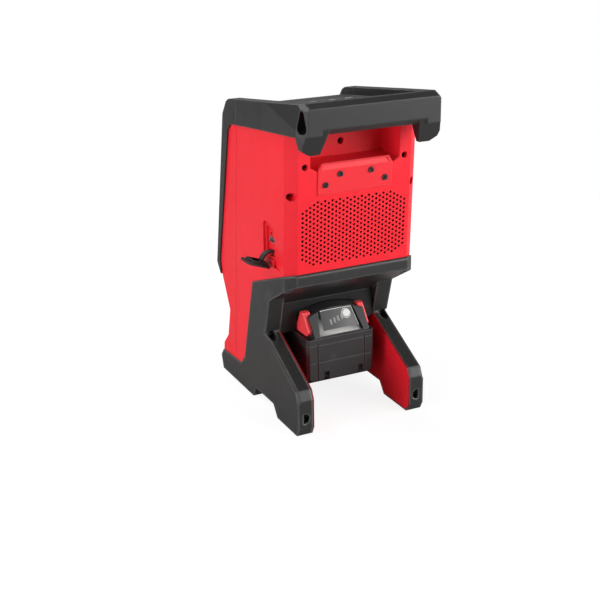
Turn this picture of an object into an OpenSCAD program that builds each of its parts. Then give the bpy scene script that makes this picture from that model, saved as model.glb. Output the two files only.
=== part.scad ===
/* [Cabinet] */
// Width of the cabinet over its sides
cab_w = 150; // [144:1:156]
// Wall of the moulded shells
wall = 3; // [2:0.5:3.5]
// Lean of the front face, in degrees from upright
front_lean = 11; // [9:0.5:12]
// Lean of the joint between front and rear shell
seam_lean = 5.6; // [5:0.2:6.4]
// Lean of the rear face
rear_lean = 2.95; // [2:0.05:4]
// Rear face at ground level, behind the middle of the front sole
rear_y0 = 134; // [132:1:140]
// Chamfer between the sides and the rear face
corner_cut = 10.5; // [8:0.5:12]
// Height of the seat of the top cage, above the origin
seat_z0 = 305.3; // [302:0.5:310]

/* [Top cage] */
// Width of the cage over its side rails
cage_w = 154; // [152:1:160]
// Height of the side rails over the seat
rail_h = 27.3; // [24:0.5:32]
// Depth of the panel deck under the rails
deck_drop = 9; // [7:0.5:12]
// Width of one side rail
rail_t = 13; // [11:0.5:16]
// Rear face of the grip bar, behind the origin
grip_y = 190.5; // [186:0.5:200]
// Depth of the grip bar, front to rear
grip_d = 25; // [20:0.5:28]
// Height of the grip bar
grip_h = 30; // [26:0.5:32]
// Length of the hanging horns at the bar's ends
horn_l = 17; // [12:1:22]

/* [Hand pocket] */
// Width of the hand pocket at its front wall
pocket_w = 95; // [84:1:97]
// Front wall of the hand pocket, behind the origin
pocket_y = 116; // [110:1:124]
// Floor of the hand pocket at its front wall
pocket_z = 286.5; // [284:0.5:288]

/* [Grilles] */
// Width of the rear field of holes
field_w = 117.6; // [100:0.2:118]
// Height of the rear field of holes
field_h = 67.5; // [50:0.5:70]
// Middle of the rear field above the ground
field_z = 215.3; // [212:0.5:218]
// Spacing of the hole columns
hole_px = 4.2; // [4:0.1:6]
// Spacing of the holes in one column
hole_pz = 4.9; // [4.4:0.1:7]
// Diameter of a rear hole
hole_d = 2.6; // [1.6:0.1:2.8]
// Width of the opening in the front frame
front_w = 126; // [116:1:132]
// Diameter of a front hole
front_hole_d = 4; // [3:0.1:4.4]
// Spacing of the front holes
front_pitch = 6; // [5.4:0.1:8]

/* [Base] */
// Width over the legs
base_w = 152; // [150:1:158]
// Width of one leg
leg_t = 18.5; // [16:0.5:20]
// Rear end of the legs, behind the origin
leg_y = 164; // [155:1:172]
// Length of the front sole
sole_l = 90; // [84:1:96]
// Clear height under the belly
belly_z = 13; // [9:0.5:16]
// Bevel along the outer top edges of the legs
edge_cut = 2.5; // [1:0.5:4]
// Thickness of the leg liners
liner_t = 1.5; // [1:0.5:4]

/* [Battery] */
// Width of the battery pack
pack_w = 82; // [76:1:86]
// Length of the battery pack
pack_l = 115; // [110:1:116]
// Underside of the pack above the ground
pack_z = 37; // [35:0.5:39]
// Height of the pack's case
pack_h = 48.5; // [46:0.5:50]
// Width of the pack's head
head_w = 66; // [60:1:68]
// Height of the pack's head
head_h = 28.5; // [25:0.5:30]

/* [Ports] */
// Front edge of the port recess, behind the origin
port_y = 84; // [78:0.5:88]
// Width of the port cover
cover_w = 24; // [22:0.5:26]
// Height of the closed port cover
cover_h = 27.5; // [26:0.5:30]
// Thickness of the port cover
cover_t = 5; // [4:0.5:6]
// Angle between the closed cover and its place at rest
cover_open = 70; // [60:1:80]

/* [Controls] */
// Diameter of a control button
button_d = 13; // [10:0.5:15]
// Stroke of a control button
button_stroke = 0.8; // [0.4:0.1:1.2]

/* [Fits] */
// Gap between fixed neighbours
fit = 0.2; // [0.1:0.05:0.3]
// Gap round moving pieces
run = 0.5; // [0.3:0.1:0.8]

/* [Hidden] */
$fn = 48;
eps = 0.01;
far = 400;

red = [0.86, 0.1, 0.13];
black = [0.2, 0.2, 0.2];
dark = [0.13, 0.13, 0.14];
steel = [0.6, 0.6, 0.62];

// Lines of the side view: depth of the front face, the shell joint and the rear face at a height
front_y0 = -75;
seam_y0 = -9;
function front_y(z) = front_y0 + z * tan(front_lean);
function seam_y(z) = seam_y0 + z * tan(seam_lean);
function rear_y(z) = rear_y0 + z * tan(rear_lean);

// Heights of the cage seat, the rail tops and the panel deck along the depth
seat_slope = 5.8;
ridge_slope = 7.2;
function seat_z(y) = seat_z0 + y * tan(seat_slope);
function ridge_z(y) = seat_z0 + rail_h + y * tan(ridge_slope);
function deck_z(y) = ridge_z(y) - deck_drop;
// Depth at which the shell joint meets a sloping line that starts at height z0
function seam_meets(z0, slope) = (seam_y0 + z0 * tan(seam_lean)) / (1 - tan(slope) * tan(seam_lean));
seam_seat_y = seam_meets(seat_z0, seat_slope);
seam_ridge_y = seam_meets(seat_z0 + rail_h, ridge_slope);

// Front frame and waist of the red shells, depth and height
frame_z = 134.5;
frame_end = [-39, 122];
frame_low = [-41, 140];
frame_high = [-1.5, 299];
frame_knee = [7, seat_z(7)];
crown_low = [front_y(314.5), 314.5];
crown_mid = [-2.5, seat_z0 + rail_h - 3];
crown_top = [4.5, ridge_z(4.5)];
waist = [[-42.5, 25.5], [-41.5, 34.5], [-27.5, 49], [-19, 83.5]];

// Line between the red shells and the black base, depth and height
shelf_z = 170.2;
shelf_run = 2.7;
base_knee = [52, 140.4];
base_heel = [22.3, 40.2];
base_foot = [9.7, 27.5];
function base_line_y(z) =
  base_heel[0] + (z - base_heel[1]) * (base_knee[0] - base_heel[0]) / (base_knee[1] - base_heel[1]);

// Battery bay: ceiling, front wall and the outline of the legs
bay_z = 121;
pack_y = 1;
bay_front = pack_y - 3;
bay_wall = 3;
bay_half = base_w / 2 - leg_t;
heel_cut = [4.6, 9];
leg_top_z = 41;
sole_half = sole_l / 2;
column_low = [82.5, 90];
column_high = [94.5, 131];
skirt_z = 160;
skirt_out = 2;
skirt_rise = 2.8;
skirt_bevel = 1.5;
shelf_end = rear_y(shelf_z) - corner_cut;
leg_mid = (base_w - leg_t) / 2;
leg_drop = 10;
belly_end = leg_y - 64;
heel_start = leg_y - 54;
sole_ramp = 7;
toe = [-50, 16];
leg_top = [leg_y - heel_cut[0], leg_top_z + leg_drop];

// Screws: head radius, head length, shank radius, shank length and the hole round the shank
screw_head = [2.9, 2.6];
screw_shank = [1.5, 14];
well_depth = 8;
boss_wall = 3;

// Cover hinge line, where the strap bends
cover_z = 191;
hinge = [cab_w / 2 - 12.8, cover_z - 12];
recess_depth = cover_t + run;
recess_drop = 11;

// Extrusions of outlines drawn in the side, plan and rear views
module side_prism(points, x0, x1) {
  translate([x0, 0, 0])
    rotate([90, 0, 90])
      linear_extrude(x1 - x0) polygon(points);
}

module side_slab(x0, x1) {
  translate([x0, 0, 0])
    rotate([90, 0, 90])
      linear_extrude(x1 - x0) children();
}

module plan_prism(points, z0, z1) {
  translate([0, 0, z0])
    linear_extrude(z1 - z0) polygon(points);
}

module rear_prism(points, y0, y1) {
  translate([0, y1, 0])
    rotate([90, 0, 0])
      linear_extrude(y1 - y0) polygon(points);
}

module both_sides() {
  children();
  mirror([1, 0, 0]) children();
}

module box(size, at) {
  translate(at - [size[0] / 2, size[1] / 2, 0]) cube(size);
}

// Frames on the leaning faces: y points out to the rear, z up along the face
module on_rear(z) {
  translate([0, rear_y(z), z]) rotate([-rear_lean, 0, 0]) children();
}

module on_front(z) {
  translate([0, front_y(z), z]) rotate([-front_lean, 0, 0]) children();
}

module on_deck(y) {
  translate([0, y, deck_z(y)]) rotate([ridge_slope, 0, 0]) children();
}

// Rod along the depth axis, from y0 to y1
module y_rod(r, y0, y1) {
  translate([0, y0, 0]) rotate([-90, 0, 0]) cylinder(r = r, h = y1 - y0);
}

// Screw whose head faces the rear, with its head's underside at the origin
module screw() {
  difference() {
    union() {
      y_rod(screw_head[0], 0, screw_head[1]);
      y_rod(screw_shank[0], -screw_shank[1], eps);
    }
    translate([0, screw_head[1] + eps, 0])
      rotate([90, 0, 0])
        cylinder(r = screw_head[0] * 0.5, h = 1.6, $fn = 6);
  }
}

// Well with a hole for that screw, mouth at the origin
module screw_well(r, deep = well_depth) {
  translate([0, -deep, 0]) {
    y_rod(r, 0, deep + far / 8);
    y_rod(screw_shank[0] + fit, -screw_shank[1] - 1, eps);
  }
}

// Post of the shell round that screw
module screw_boss(deep = well_depth) {
  y_rod(screw_head[0] + boss_wall, -deep - screw_shank[1] - boss_wall, 0);
}

module seated_screw(deep = well_depth) {
  translate([0, -deep + fit, 0]) screw();
}

// Triangular cut that bevels the edge from p to q of a side outline, on the outer face x
module edge_bevel(p, q, x, size) {
  run_l = norm(q - p);
  turn = atan2(q[1] - p[1], q[0] - p[0]);
  translate([x, p[0], p[1]])
    rotate([turn, 0, 0])
      translate([0, -size, 0])
        rotate([-90, 0, 0])
          linear_extrude(run_l + 2 * size)
            polygon([[-size, 0], [size, size * 2], [size, -size], [0, -size]]);
}

// Red cabinet as one block, drawn in from its faces by an inset
module red_body(inset) {
  top = seat_z0 - inset / cos(seat_slope);
  rear = rear_y0 - inset / cos(rear_lean);
  half = cab_w / 2 - inset;
  cut = corner_cut;
  intersection() {
    side_prism([
      [base_foot[0] - far, base_foot[1] + inset],
      [base_foot[0] + inset, base_foot[1] + inset],
      base_heel + [inset, inset],
      base_knee + [-inset, inset],
      [base_knee[0] + (shelf_z - base_knee[1]) * shelf_run, shelf_z + inset],
      [shelf_end, shelf_z + inset],
      [shelf_end + 2 * corner_cut, shelf_z + 2 * skirt_rise + inset],
      [far, shelf_z + 2 * skirt_rise + inset],
      [far, top + far * tan(seat_slope)],
      [-far, top - far * tan(seat_slope)]
    ], -half, half);
    translate([0, rear, 0])
      rotate([-rear_lean, 0, 0])
        plan_prism([
          [-half, -far], [half, -far], [half, -cut], [half - cut, 0], [cut - half, 0], [-half, -cut]
        ], -20, far);
  }
}

module seam_side(front, gap) {
  shift = front ? -gap : gap;
  reach = front ? -far : far;
  side_prism([
    [seam_y(-50) + shift, -50], [seam_y(far) + shift, far], [reach, far], [reach, -50]
  ], -far / 2, far / 2);
}

// Narrow groove along that joint, on both sides of the cabinet
seam_groove = [0.4, 0.7];
module joint_groove() {
  both_sides()
    side_prism([
      [seam_y(0) - seam_groove[0], 0], [seam_y(0) + seam_groove[0], 0],
      [seam_y(far) + seam_groove[0], far], [seam_y(far) - seam_groove[0], far]
    ], cab_w / 2 - seam_groove[1], cab_w);
}

module front_housing() {
  color(red)
    intersection() {
      seam_side(true, fit / 2);
      difference() {
        side_prism(concat(waist, [
          frame_end, frame_low, frame_high, frame_knee, [far, seat_z(far)], [far, base_foot[1]], base_foot
        ]), -cab_w / 2, cab_w / 2);
        front_hollow();
        joint_groove();
      }
    }
}

// Inside of the front shell: the driver bay and, under its shelf, the foot of the column
driver_floor = frame_end[1] + wall + 6;
waist_wall = wall * sqrt(2);
module front_hollow() {
  half = cab_w / 2 - wall;
  side_prism([
    [-far, driver_floor], [far, driver_floor],
    [far, seat_z(far) - wall], [-far, seat_z(-far) - wall]
  ], -half, half);
  side_prism([
    waist[0] + [wall, wall], waist[1] + [waist_wall, 0], waist[2] + [waist_wall, 0], waist[3] + [wall, 0],
    [frame_end[0] + wall, driver_floor - wall - 3],
    [far, driver_floor - wall - 3], [far, waist[0][1] + wall]
  ], -half, half);
}

module rear_housing() {
  color(red)
    difference() {
      intersection() {
        seam_side(false, fit / 2);
        difference() {
          red_body(0);
          difference() {
            red_body(wall);
            pocket_walls();
            board_posts();
            jack_pad();
            face_screw_places() screw_boss();
            edge_screw_places() screw_boss(edge_deep);
            both_sides() on_skirt_screw() screw_boss();
          }
          bay_relief();
        }
      }
      hand_pocket();
      plate_seat();
      grille_opening(fit);
      rear_wells();
      port_recess();
      joint_groove();
      both_sides() on_skirt_screw() screw_well(base_well_r);
    }
}

// Space for the battery bay, which rises through the floor of the red shells
module bay_relief() {
  side_prism([
    [-far, -far], [far, -far], [far, bay_z + bay_wall + fit], [-far, bay_z + bay_wall + fit]
  ], -bay_half - bay_wall - fit, bay_half + bay_wall + fit);
}

// Hand pocket: upright front wall, floor that falls to the rear, side walls that open to the mouth
pocket_fall = 6.5;
pocket_flare = 3.5;
pocket_corner = [8, 4.5];
module hand_pocket(grow = 0) {
  back = pocket_w / 2 + grow;
  mouth = back + pocket_flare;
  mouth_y = rear_y(pocket_z);
  floor = pocket_z - grow;
  low = floor - pocket_fall;
  intersection() {
    side_prism([
      [pocket_y - grow, far], [pocket_y - grow, floor], [mouth_y, low], [far, low], [far, far]
    ], -far / 2, far / 2);
    plan_prism([
      [-back, pocket_y - grow], [back, pocket_y - grow], [mouth, mouth_y], [mouth, far],
      [-mouth, far], [-mouth, mouth_y]
    ], 0, far);
    rear_prism([
      [mouth - pocket_corner[0], low], [mouth, low + pocket_corner[1]], [mouth, far],
      [-mouth, far], [-mouth, low + pocket_corner[1]], [pocket_corner[0] - mouth, low]
    ], 0, far);
  }
}

module pocket_walls() {
  intersection() {
    hand_pocket(wall);
    red_body(-1);
  }
}

// Plate that covers the rear electronics and stands up before the pocket's mouth
plate_w = 85;
plate_low = 255.5;
plate_high = 288;
plate_cut = [4.5, 7];
plate_t = 2.5;
plate_proud = 1;
plate_screw_spots = [[-34, 265.4], [34, 265.4], [-17.6, 275.3], [17.6, 275.3]];

module plate_leaf(grow) {
  half = plate_w / 2 + grow;
  low = plate_low - grow;
  high = plate_high;
  out = grow > 0 ? far / 4 : plate_proud;
  intersection() {
    side_prism([
      [rear_y(low) - plate_t + plate_proud - grow, low], [rear_y(low) + out, low],
      [rear_y(high) + out, high + grow],
      [rear_y(high) - plate_t + plate_proud - grow, high + grow]
    ], -half, half);
    rear_prism([
      [-half, low], [half, low], [half, high - plate_cut[1] + grow], [half - plate_cut[0], high + grow],
      [plate_cut[0] - half, high + grow], [-half, high - plate_cut[1] + grow]
    ], 0, far);
  }
}

module plate_seat() {
  plate_leaf(fit);
  for (spot = plate_screw_spots)
    translate([spot[0], rear_y(spot[1]), spot[1]])
      y_rod(screw_shank[0] + fit, -screw_shank[1] - 3, 1);
}

module access_plate() {
  color(red)
    difference() {
      plate_leaf(0);
      for (spot = plate_screw_spots)
        translate([spot[0], rear_y(spot[1]), spot[1]]) {
          y_rod(screw_shank[0] + fit, -screw_shank[1], 10);
          y_rod(screw_head[0] + fit, -0.6, 10);
        }
      plate_field();
    }
}

// Sloping field along the top of the plate, inside a narrow rim
plate_rim = [4, 1.4];
field_deep = 1.5;
module plate_field() {
  low = plate_high - plate_cut[1];
  high = plate_high - plate_rim[1];
  half = plate_w / 2 - plate_rim[0];
  intersection() {
    side_prism([
      [rear_y(low) + plate_proud, low], [rear_y(high) + plate_proud - field_deep, high],
      [rear_y(high) + plate_t, high], [rear_y(low) + plate_t, low]
    ], -half, half);
    rear_prism([
      [-half, low], [half, low], [half - plate_cut[0] / 2, high], [plate_cut[0] / 2 - half, high]
    ], 0, far);
  }
}

module plate_screws() {
  color(dark)
    for (spot = plate_screw_spots)
      translate([spot[0], rear_y(spot[1]) - 0.6 + fit, spot[1]]) screw();
}

// Perforated field of the rear shell
field_cut = [12.6, 8];
field_rim = 2.4;
module field_outline(grow) {
  hw = field_w / 2 + grow;
  hh = field_h / 2 + grow;
  polygon([
    [hw, -hh + field_cut[1]], [hw, hh - field_cut[1]], [hw - field_cut[0], hh], [field_cut[0] - hw, hh],
    [-hw, hh - field_cut[1]], [-hw, field_cut[1] - hh], [field_cut[0] - hw, -hh], [hw - field_cut[0], -hh]
  ]);
}

function in_field(x, z) =
  abs(x) <= field_w / 2 + eps && abs(z) <= field_h / 2 + eps
  && (abs(x) - field_w / 2 + field_cut[0]) / field_cut[0]
     + (abs(z) - field_h / 2 + field_cut[1]) / field_cut[1] <= 1.2;

module grille_opening(grow) {
  on_rear(field_z)
    translate([0, 1, 0])
      rotate([90, 0, 0])
        linear_extrude(wall + 2) field_outline(field_rim + grow);
}

module rear_grille() {
  columns = round(field_w / hole_px);
  rows = floor(field_h / hole_pz);
  color(red)
    on_rear(field_z)
      rotate([90, 0, 0])
        linear_extrude(wall)
          difference() {
            field_outline(field_rim);
            for (c = [0:columns], r = [0:rows]) {
              x = (c - columns / 2) * hole_px;
              z = (r - rows / 2 + (c % 2 == 0 ? 0.25 : -0.25)) * hole_pz;
              if (in_field(x, z)) translate([x, z]) circle(d = hole_d, $fn = 20);
            }
          }
}

// Screw wells of the rear shell: two in the rear face, two in the chamfers, one in the pocket
face_screw = [56.8, 286];
edge_screw = [cab_w / 2 - 6, 256];
edge_well_r = 4.2;
edge_deep = 20;
face_well_r = 3.4;
pocket_screw_z = 300.5;

module face_screw_places() {
  both_sides()
    translate([face_screw[0], rear_y(face_screw[1]), face_screw[1]]) children();
  translate([0, pocket_y, pocket_screw_z]) children();
}

module edge_screw_places() {
  both_sides()
    translate([edge_screw[0], rear_y(edge_screw[1]), edge_screw[1]]) children();
}

module rear_wells() {
  face_screw_places() screw_well(face_well_r);
  edge_screw_places() screw_well(edge_well_r, edge_deep);
}

module shell_screws() {
  color(dark) {
    face_screw_places() seated_screw();
    edge_screw_places() seated_screw(edge_deep);
  }
}

// Recess of the ports: a shallow step for the cover's leaf, a deeper pocket for its plug, and a scooped
// thumb rest behind them
port_x = cab_w / 2 - recess_depth;
port_high = cover_z + cover_h + run;
port_mid = port_y + cover_w / 2;
port_top = port_high - 6;
leaf_t = 2.2;
plug_in = 3;
cover_rim = 1.6;
jack_r = 3.6;
usb_size = [13.2, 6];
port_web = 0.8;
usb_z = cover_z + plug_in + cover_rim + run + usb_size[1] / 2;
jack_z = usb_z + usb_size[1] / 2 + port_web + jack_r;
step_x = cab_w / 2 - leaf_t - run;
scoop_l = 22;
scoop_z = [cover_z - 18, cover_z + 16];

module port_recess() {
  lip = plug_in - run;
  side_slab(step_x, cab_w) {
    cover_outline(-run);
    translate([port_y - run, cover_z - recess_drop]) square([cover_w + 2 * run, cover_h]);
  }
  translate([port_x, port_y + lip, cover_z - recess_drop + lip])
    cube([far / 8, cover_w - 2 * lip, port_top - cover_z + recess_drop - lip]);
  plan_prism([
    [step_x, port_y + cover_w], [cab_w, port_y + cover_w],
    [cab_w, port_y + cover_w + scoop_l], [cab_w / 2, port_y + cover_w + scoop_l]
  ], scoop_z[0], scoop_z[1]);
  translate([port_x - 20, port_mid, jack_z])
    rotate([0, 90, 0]) cylinder(r = jack_r + fit, h = 40);
  translate([port_x - 20, port_mid - usb_size[0] / 2 - fit, usb_z - usb_size[1] / 2 - fit])
    cube([40, usb_size[0] + 2 * fit, usb_size[1] + 2 * fit]);
}

// Wall behind the recess
module jack_pad() {
  translate([port_x - wall, port_y - run - wall, scoop_z[0] - wall])
    cube([far / 8, cover_w + scoop_l + 2 * wall, port_high - scoop_z[0] + 2 * wall]);
}

module usb_socket() {
  color(steel)
    translate([0, port_mid, usb_z])
      rotate([0, 90, 0])
        translate([0, 0, port_x - 14]) {
          difference() {
            box([usb_size[1], usb_size[0], 15], [0, 0, 0]);
            box([usb_size[1] - 1.4, usb_size[0] - 1.4, 15], [0, 0, 1.5]);
          }
          box([1.8, usb_size[0] - 3.5, 11], [1, 0, 1]);
        }
}

module audio_jack() {
  color(dark)
    translate([port_x - 13, port_mid, jack_z])
      rotate([0, 90, 0])
        difference() {
          cylinder(r = jack_r, h = 14.5);
          translate([0, 0, 2]) cylinder(r = 1.8, h = 15);
        }
}

// Rubber cover, drawn closed and turned open about the strap's bend
module swing_open(angle) {
  translate([hinge[0], 0, hinge[1]])
    rotate([0, angle, 0])
      translate([-hinge[0], 0, -hinge[1]]) children();
}

// Outline of the closed cover in the side view, drawn in by an inset
cover_r = 5;
module cover_outline(inset) {
  w = cover_w - 2 * inset;
  h = cover_h - 2 * inset;
  r = cover_r - inset;
  translate([port_y + inset, cover_z + inset]) {
    translate([r, 0]) square([w - 2 * r, h]);
    translate([0, r]) square([w, h - 2 * r]);
    for (y = [r, w - r], z = [r, h - r]) translate([y, z]) circle(r = r);
  }
}

cover_inner = cab_w / 2 - fit - leaf_t;
module port_cover() {
  color(dark)
    swing_open(cover_open)
      difference() {
        union() {
          side_slab(cover_inner, cab_w / 2 - fit) cover_outline(0);
          plug_block(port_x + run, cover_inner + eps, 0);
        }
        plug_block(port_x, cover_inner, cover_rim);
      }
}

// Plug of the cover between two depths, drawn in by an inset
module plug_block(x0, x1, inset) {
  translate([x0, port_y + plug_in + inset, cover_z + plug_in + inset])
    cube([x1 - x0, cover_w - 2 * (plug_in + inset), port_top - run - cover_z - plug_in - 2 * inset]);
}

// Strap: straight root in the recess and a bend down to the open cover's inner face
strap_w = 8;
strap_t = 2.6;
strap_r = 12;
strap_gap = 0.3;
module cover_strap() {
  bend = [cab_w / 2 - 1.5, cover_z - 14.5];
  color(dark)
    difference() {
      translate([0, port_mid + strap_w / 2, 0])
        rotate([90, 0, 0])
          linear_extrude(strap_w) {
            intersection() {
              translate(bend)
                difference() {
                  circle(r = strap_r);
                  circle(r = strap_r - strap_t);
                }
              translate(bend - [0, strap_r / 2]) square(2 * strap_r);
            }
            translate([port_x + fit, bend[1] + strap_r - strap_t])
              square([bend[0] - port_x, strap_t]);
          }
      swing_open(cover_open)
        translate([cover_inner - strap_gap, port_y, cover_z - cover_h])
          cube([far / 4, cover_w, 2 * cover_h]);
    }
}

// Front frame: one moulding with the front ends of the side rails
front_low = 141;
front_high = 306;
module front_frame() {
  color(black)
    difference() {
      intersection() {
        side_prism([
          [front_y(frame_z), frame_z], crown_low, crown_mid, crown_top,
          [seam_ridge_y - fit / 2, ridge_z(seam_ridge_y)],
          [seam_seat_y - fit / 2, seat_z(seam_seat_y) + fit],
          frame_knee + [-fit, fit], frame_high + [-fit, 0], frame_low + [-fit, 0], frame_end + [-fit, 0]
        ], -cage_w / 2, cage_w / 2);
        rail_bevel();
      }
      front_opening(0);
      deck_clear();
    }
}

module front_opening(gap) {
  half = front_w / 2 - gap;
  side_prism([
    [front_y(front_low) - 40, front_low + gap], [front_y(front_low) + 60, front_low + gap],
    [front_y(front_high) + 60, front_high - gap], [front_y(front_high) - 40, front_high - gap]
  ], -half, half);
}

// Everything between the side rails, above the panel deck
module deck_clear() {
  half = cage_w / 2 - rail_t;
  side_prism([
    [-far, deck_z(-far)], [far, deck_z(far)], [far, far], [-far, far]
  ], -half, half);
}

// Outer faces of the rails lean in over the last stretch below their tops
module rail_bevel() {
  low = cage_w / 2 + cage_flare;
  high = low - (far - bevel_z) * tan(bevel_lean);
  rear_prism([[-low, 0], [low, 0], [low, bevel_z], [high, far], [-high, far], [-low, bevel_z]], -far, far);
}

grille_in = 3;
grille_t = 1.2;
module front_grille() {
  half = front_w / 2 - fit;
  mid = (front_low + front_high) / 2;
  half_h = (front_high - front_low) / 2 / cos(front_lean) - 1;
  columns = floor((2 * half - 8) / front_pitch);
  row_step = front_pitch * sin(60);
  rows = floor((2 * half_h - 8) / row_step);
  color(steel)
    on_front(mid)
      translate([0, grille_in + grille_t, 0])
        rotate([90, 0, 0])
          linear_extrude(grille_t)
            difference() {
              square([2 * half, 2 * half_h], center = true);
              for (r = [0:rows], c = [0:columns - r % 2])
                translate([(c - (columns - r % 2) / 2) * front_pitch, (r - rows / 2) * row_step])
                  circle(d = front_hole_d, $fn = 20);
            }
}

// Board behind the front grille that carries the drivers
baffle_in = 24;
baffle_t = 5;
woofer_z = 196;
woofer_r = 50;
woofer_lip = 6;
tweeter_z = 271;
tweeter_r = 21;
tweeter_lip = 4;
driver_gap = 0.5;
module baffle() {
  half = cab_w / 2 - wall - fit;
  low = driver_floor + fit;
  high = seat_z(front_y(seat_z0) + baffle_in) - wall - 2 * fit;
  color(dark)
    difference() {
      side_prism([
        [front_y(low) + baffle_in, low], [front_y(low) + baffle_in + baffle_t, low],
        [front_y(high) + baffle_in + baffle_t, high], [front_y(high) + baffle_in, high]
      ], -half, half);
      on_front(woofer_z) y_rod(woofer_r - woofer_lip, 0, 2 * woofer_r);
      on_front(tweeter_z) y_rod(tweeter_r - tweeter_lip, 0, 2 * woofer_r);
    }
}

// Depth along a driver's axis of the baffle's front
seat_in = baffle_in * cos(front_lean);
module driver_turn(z) {
  on_front(z)
    translate([0, seat_in - fit, 0])
      rotate([-90, 0, 0])
        rotate_extrude() children();
}

magnet_r = 32;
magnet_h = 20;
basket_d = 42;
basket_t = 4;
basket_rim = 9;
module woofer_basket() {
  throat = woofer_r - woofer_lip - driver_gap;
  inner = woofer_r - basket_rim;
  color(dark)
    driver_turn(woofer_z)
      polygon([
        [throat, 0], [woofer_r, 0], [woofer_r, -basket_t], [inner, -basket_t], [inner, 0],
        [magnet_r - 1.5 * basket_t, basket_d - basket_t], [0, basket_d - basket_t],
        [0, basket_d + magnet_h], [magnet_r, basket_d + magnet_h], [magnet_r, basket_d],
        [magnet_r - basket_t, basket_d]
      ]);
}

// Cone with a dished middle and a half-round surround
cone_d = 20;
cone_t = 3;
cone_mid = 10;
surround_r = 5;
surround_t = 1.2;
module woofer_cone() {
  edge = woofer_r - basket_rim - fit;
  inner = edge - 2 * surround_r;
  color([0.1, 0.1, 0.1])
    driver_turn(woofer_z) {
      polygon([
        [0, cone_d - 2 * cone_t], [cone_mid, cone_d - cone_t], [inner, -cone_t], [edge, -cone_t],
        [edge, -cone_t / 2], [inner, -cone_t / 2], [cone_mid, cone_d], [0, cone_d - cone_t]
      ]);
      intersection() {
        translate([edge - surround_r, -cone_t]) difference() {
          circle(r = surround_r);
          circle(r = surround_r - surround_t);
        }
        translate([inner, -cone_t - surround_r]) square([2 * surround_r, surround_r + surround_t / 2]);
      }
    }
}

// Tweeter with a domed middle behind its flange
dome_r = 13;
dome_sag = 5;
tweeter_d = 16;
flange_t = 3.5;
flange_in = 1.5;
module tweeter() {
  can = tweeter_r - tweeter_lip - driver_gap;
  color(dark)
    driver_turn(tweeter_z) {
      polygon([
        [0, flange_in - flange_t], [dome_r, flange_in - flange_t], [dome_r, -flange_t],
        [tweeter_r, -flange_t], [tweeter_r, 0], [can, 0], [can, tweeter_d], [0, tweeter_d]
      ]);
      intersection() {
        translate([0, flange_in - flange_t + dome_sag]) circle(r = norm([dome_r, dome_sag]));
        translate([0, -dome_r]) square([dome_r, dome_r - flange_in]);
      }
    }
}

// Passive radiator that breathes through the rear field
radiator_w = 112;
radiator_h = 62;
radiator_rim = 9;
radiator_t = 6;
module on_radiator(depth) {
  on_rear(field_z)
    translate([0, -wall - fit - depth, 0])
      rotate([90, 0, 0]) children();
}

module slot_outline(w, h) {
  square([w - h, h], center = true);
  for (s = [-1, 1]) translate([s * (w - h) / 2, 0]) circle(d = h);
}

module radiator_frame() {
  color(dark)
    on_radiator(0)
      linear_extrude(radiator_t)
        difference() {
          square([radiator_w, radiator_h], center = true);
          slot_outline(radiator_w - 2 * radiator_rim, radiator_h - 2 * radiator_rim);
        }
}

module radiator_membrane() {
  w = radiator_w - 2 * radiator_rim - 2 * fit;
  h = radiator_h - 2 * radiator_rim - 2 * fit;
  color([0.1, 0.1, 0.1])
    on_radiator(radiator_t / 2) {
      linear_extrude(1.5) slot_outline(w, h);
      linear_extrude(3) slot_outline(w - 18, h - 18);
      translate([0, 0, -1.2])
        linear_extrude(2)
          difference() {
            slot_outline(w - 5, h - 5);
            slot_outline(w - 13, h - 13);
          }
    }
}

// Amplifier board on four posts of the rear shell's floor
board_size = [96, 62, 1.6];
board_mid = [0, 100];
board_z = shelf_z + wall + 8;
sink_size = [34, 26, 14];
sink_at = [-18, -8];
can_r = 5;
can_h = 12;
can_spots = [for (x = [12, 26, 38], y = [-16, 4]) [x, y]];
post_in = 5;
post_r = 3.5;
post_spots = [for (x = [-1, 1], y = [-1, 1])
  [board_mid[0] + x * (board_size[0] / 2 - post_in), board_mid[1] + y * (board_size[1] / 2 - post_in)]];

module board_posts() {
  for (spot = post_spots)
    translate([spot[0], spot[1], base_knee[1]]) cylinder(r = post_r, h = board_z - fit - base_knee[1]);
}

module main_board() {
  color([0.1, 0.35, 0.2])
    difference() {
      union() {
        box(board_size, [board_mid[0], board_mid[1], board_z]);
        translate([board_mid[0], board_mid[1], board_z + board_size[2] - eps]) {
          box(sink_size, [sink_at[0], sink_at[1], 0]);
          for (spot = can_spots) translate(spot) cylinder(r = can_r, h = can_h);
        }
      }
      for (spot = post_spots)
        translate([spot[0], spot[1], board_z - 1]) cylinder(r = 1.6, h = 4);
    }
}

// Top cage: side rails behind the shell joint, panel deck, grip bar and its horns
grip_low = ridge_z(grip_y - 10) - grip_h;
grip_front = grip_y - grip_d;
grip_face = [grip_low + 5.5, ridge_z(grip_y - 10) - 3.5];
bevel_z = grip_face[0];
bevel_lean = 10;
cage_cut = [7, 13.5];
cage_flare = 3;
flare_y = 90;
gap_half = 58;
deck_end = pocket_y + 3;
wing_half = cage_w / 2 + cage_flare;

function half_cage_plan() = [
  [0, -far], [cage_w / 2, -far], [cage_w / 2, flare_y], [wing_half, grip_y - cage_cut[1]],
  [wing_half - cage_cut[0], grip_y], [0, grip_y]
];

module cage_block() {
  both_sides() plan_prism(half_cage_plan(), 0, far);
}

// Frame on the corner facet of a wing: y points outward, z up
module on_wing_corner(z) {
  translate([wing_half - cage_cut[0] / 2, grip_y - cage_cut[1] / 2, z])
    rotate([0, 0, -atan2(cage_cut[1], cage_cut[0])]) children();
}

// Sloping cut over the corner facet
corner_drop = 7;
module corner_slope() {
  both_sides()
    on_wing_corner(ridge_z(grip_y) - corner_drop)
      side_prism([[0, 0], [far / 4, -far / 4], [far / 4, far / 4], [-far / 4, far / 4]], -far / 8, far / 8);
}

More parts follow.
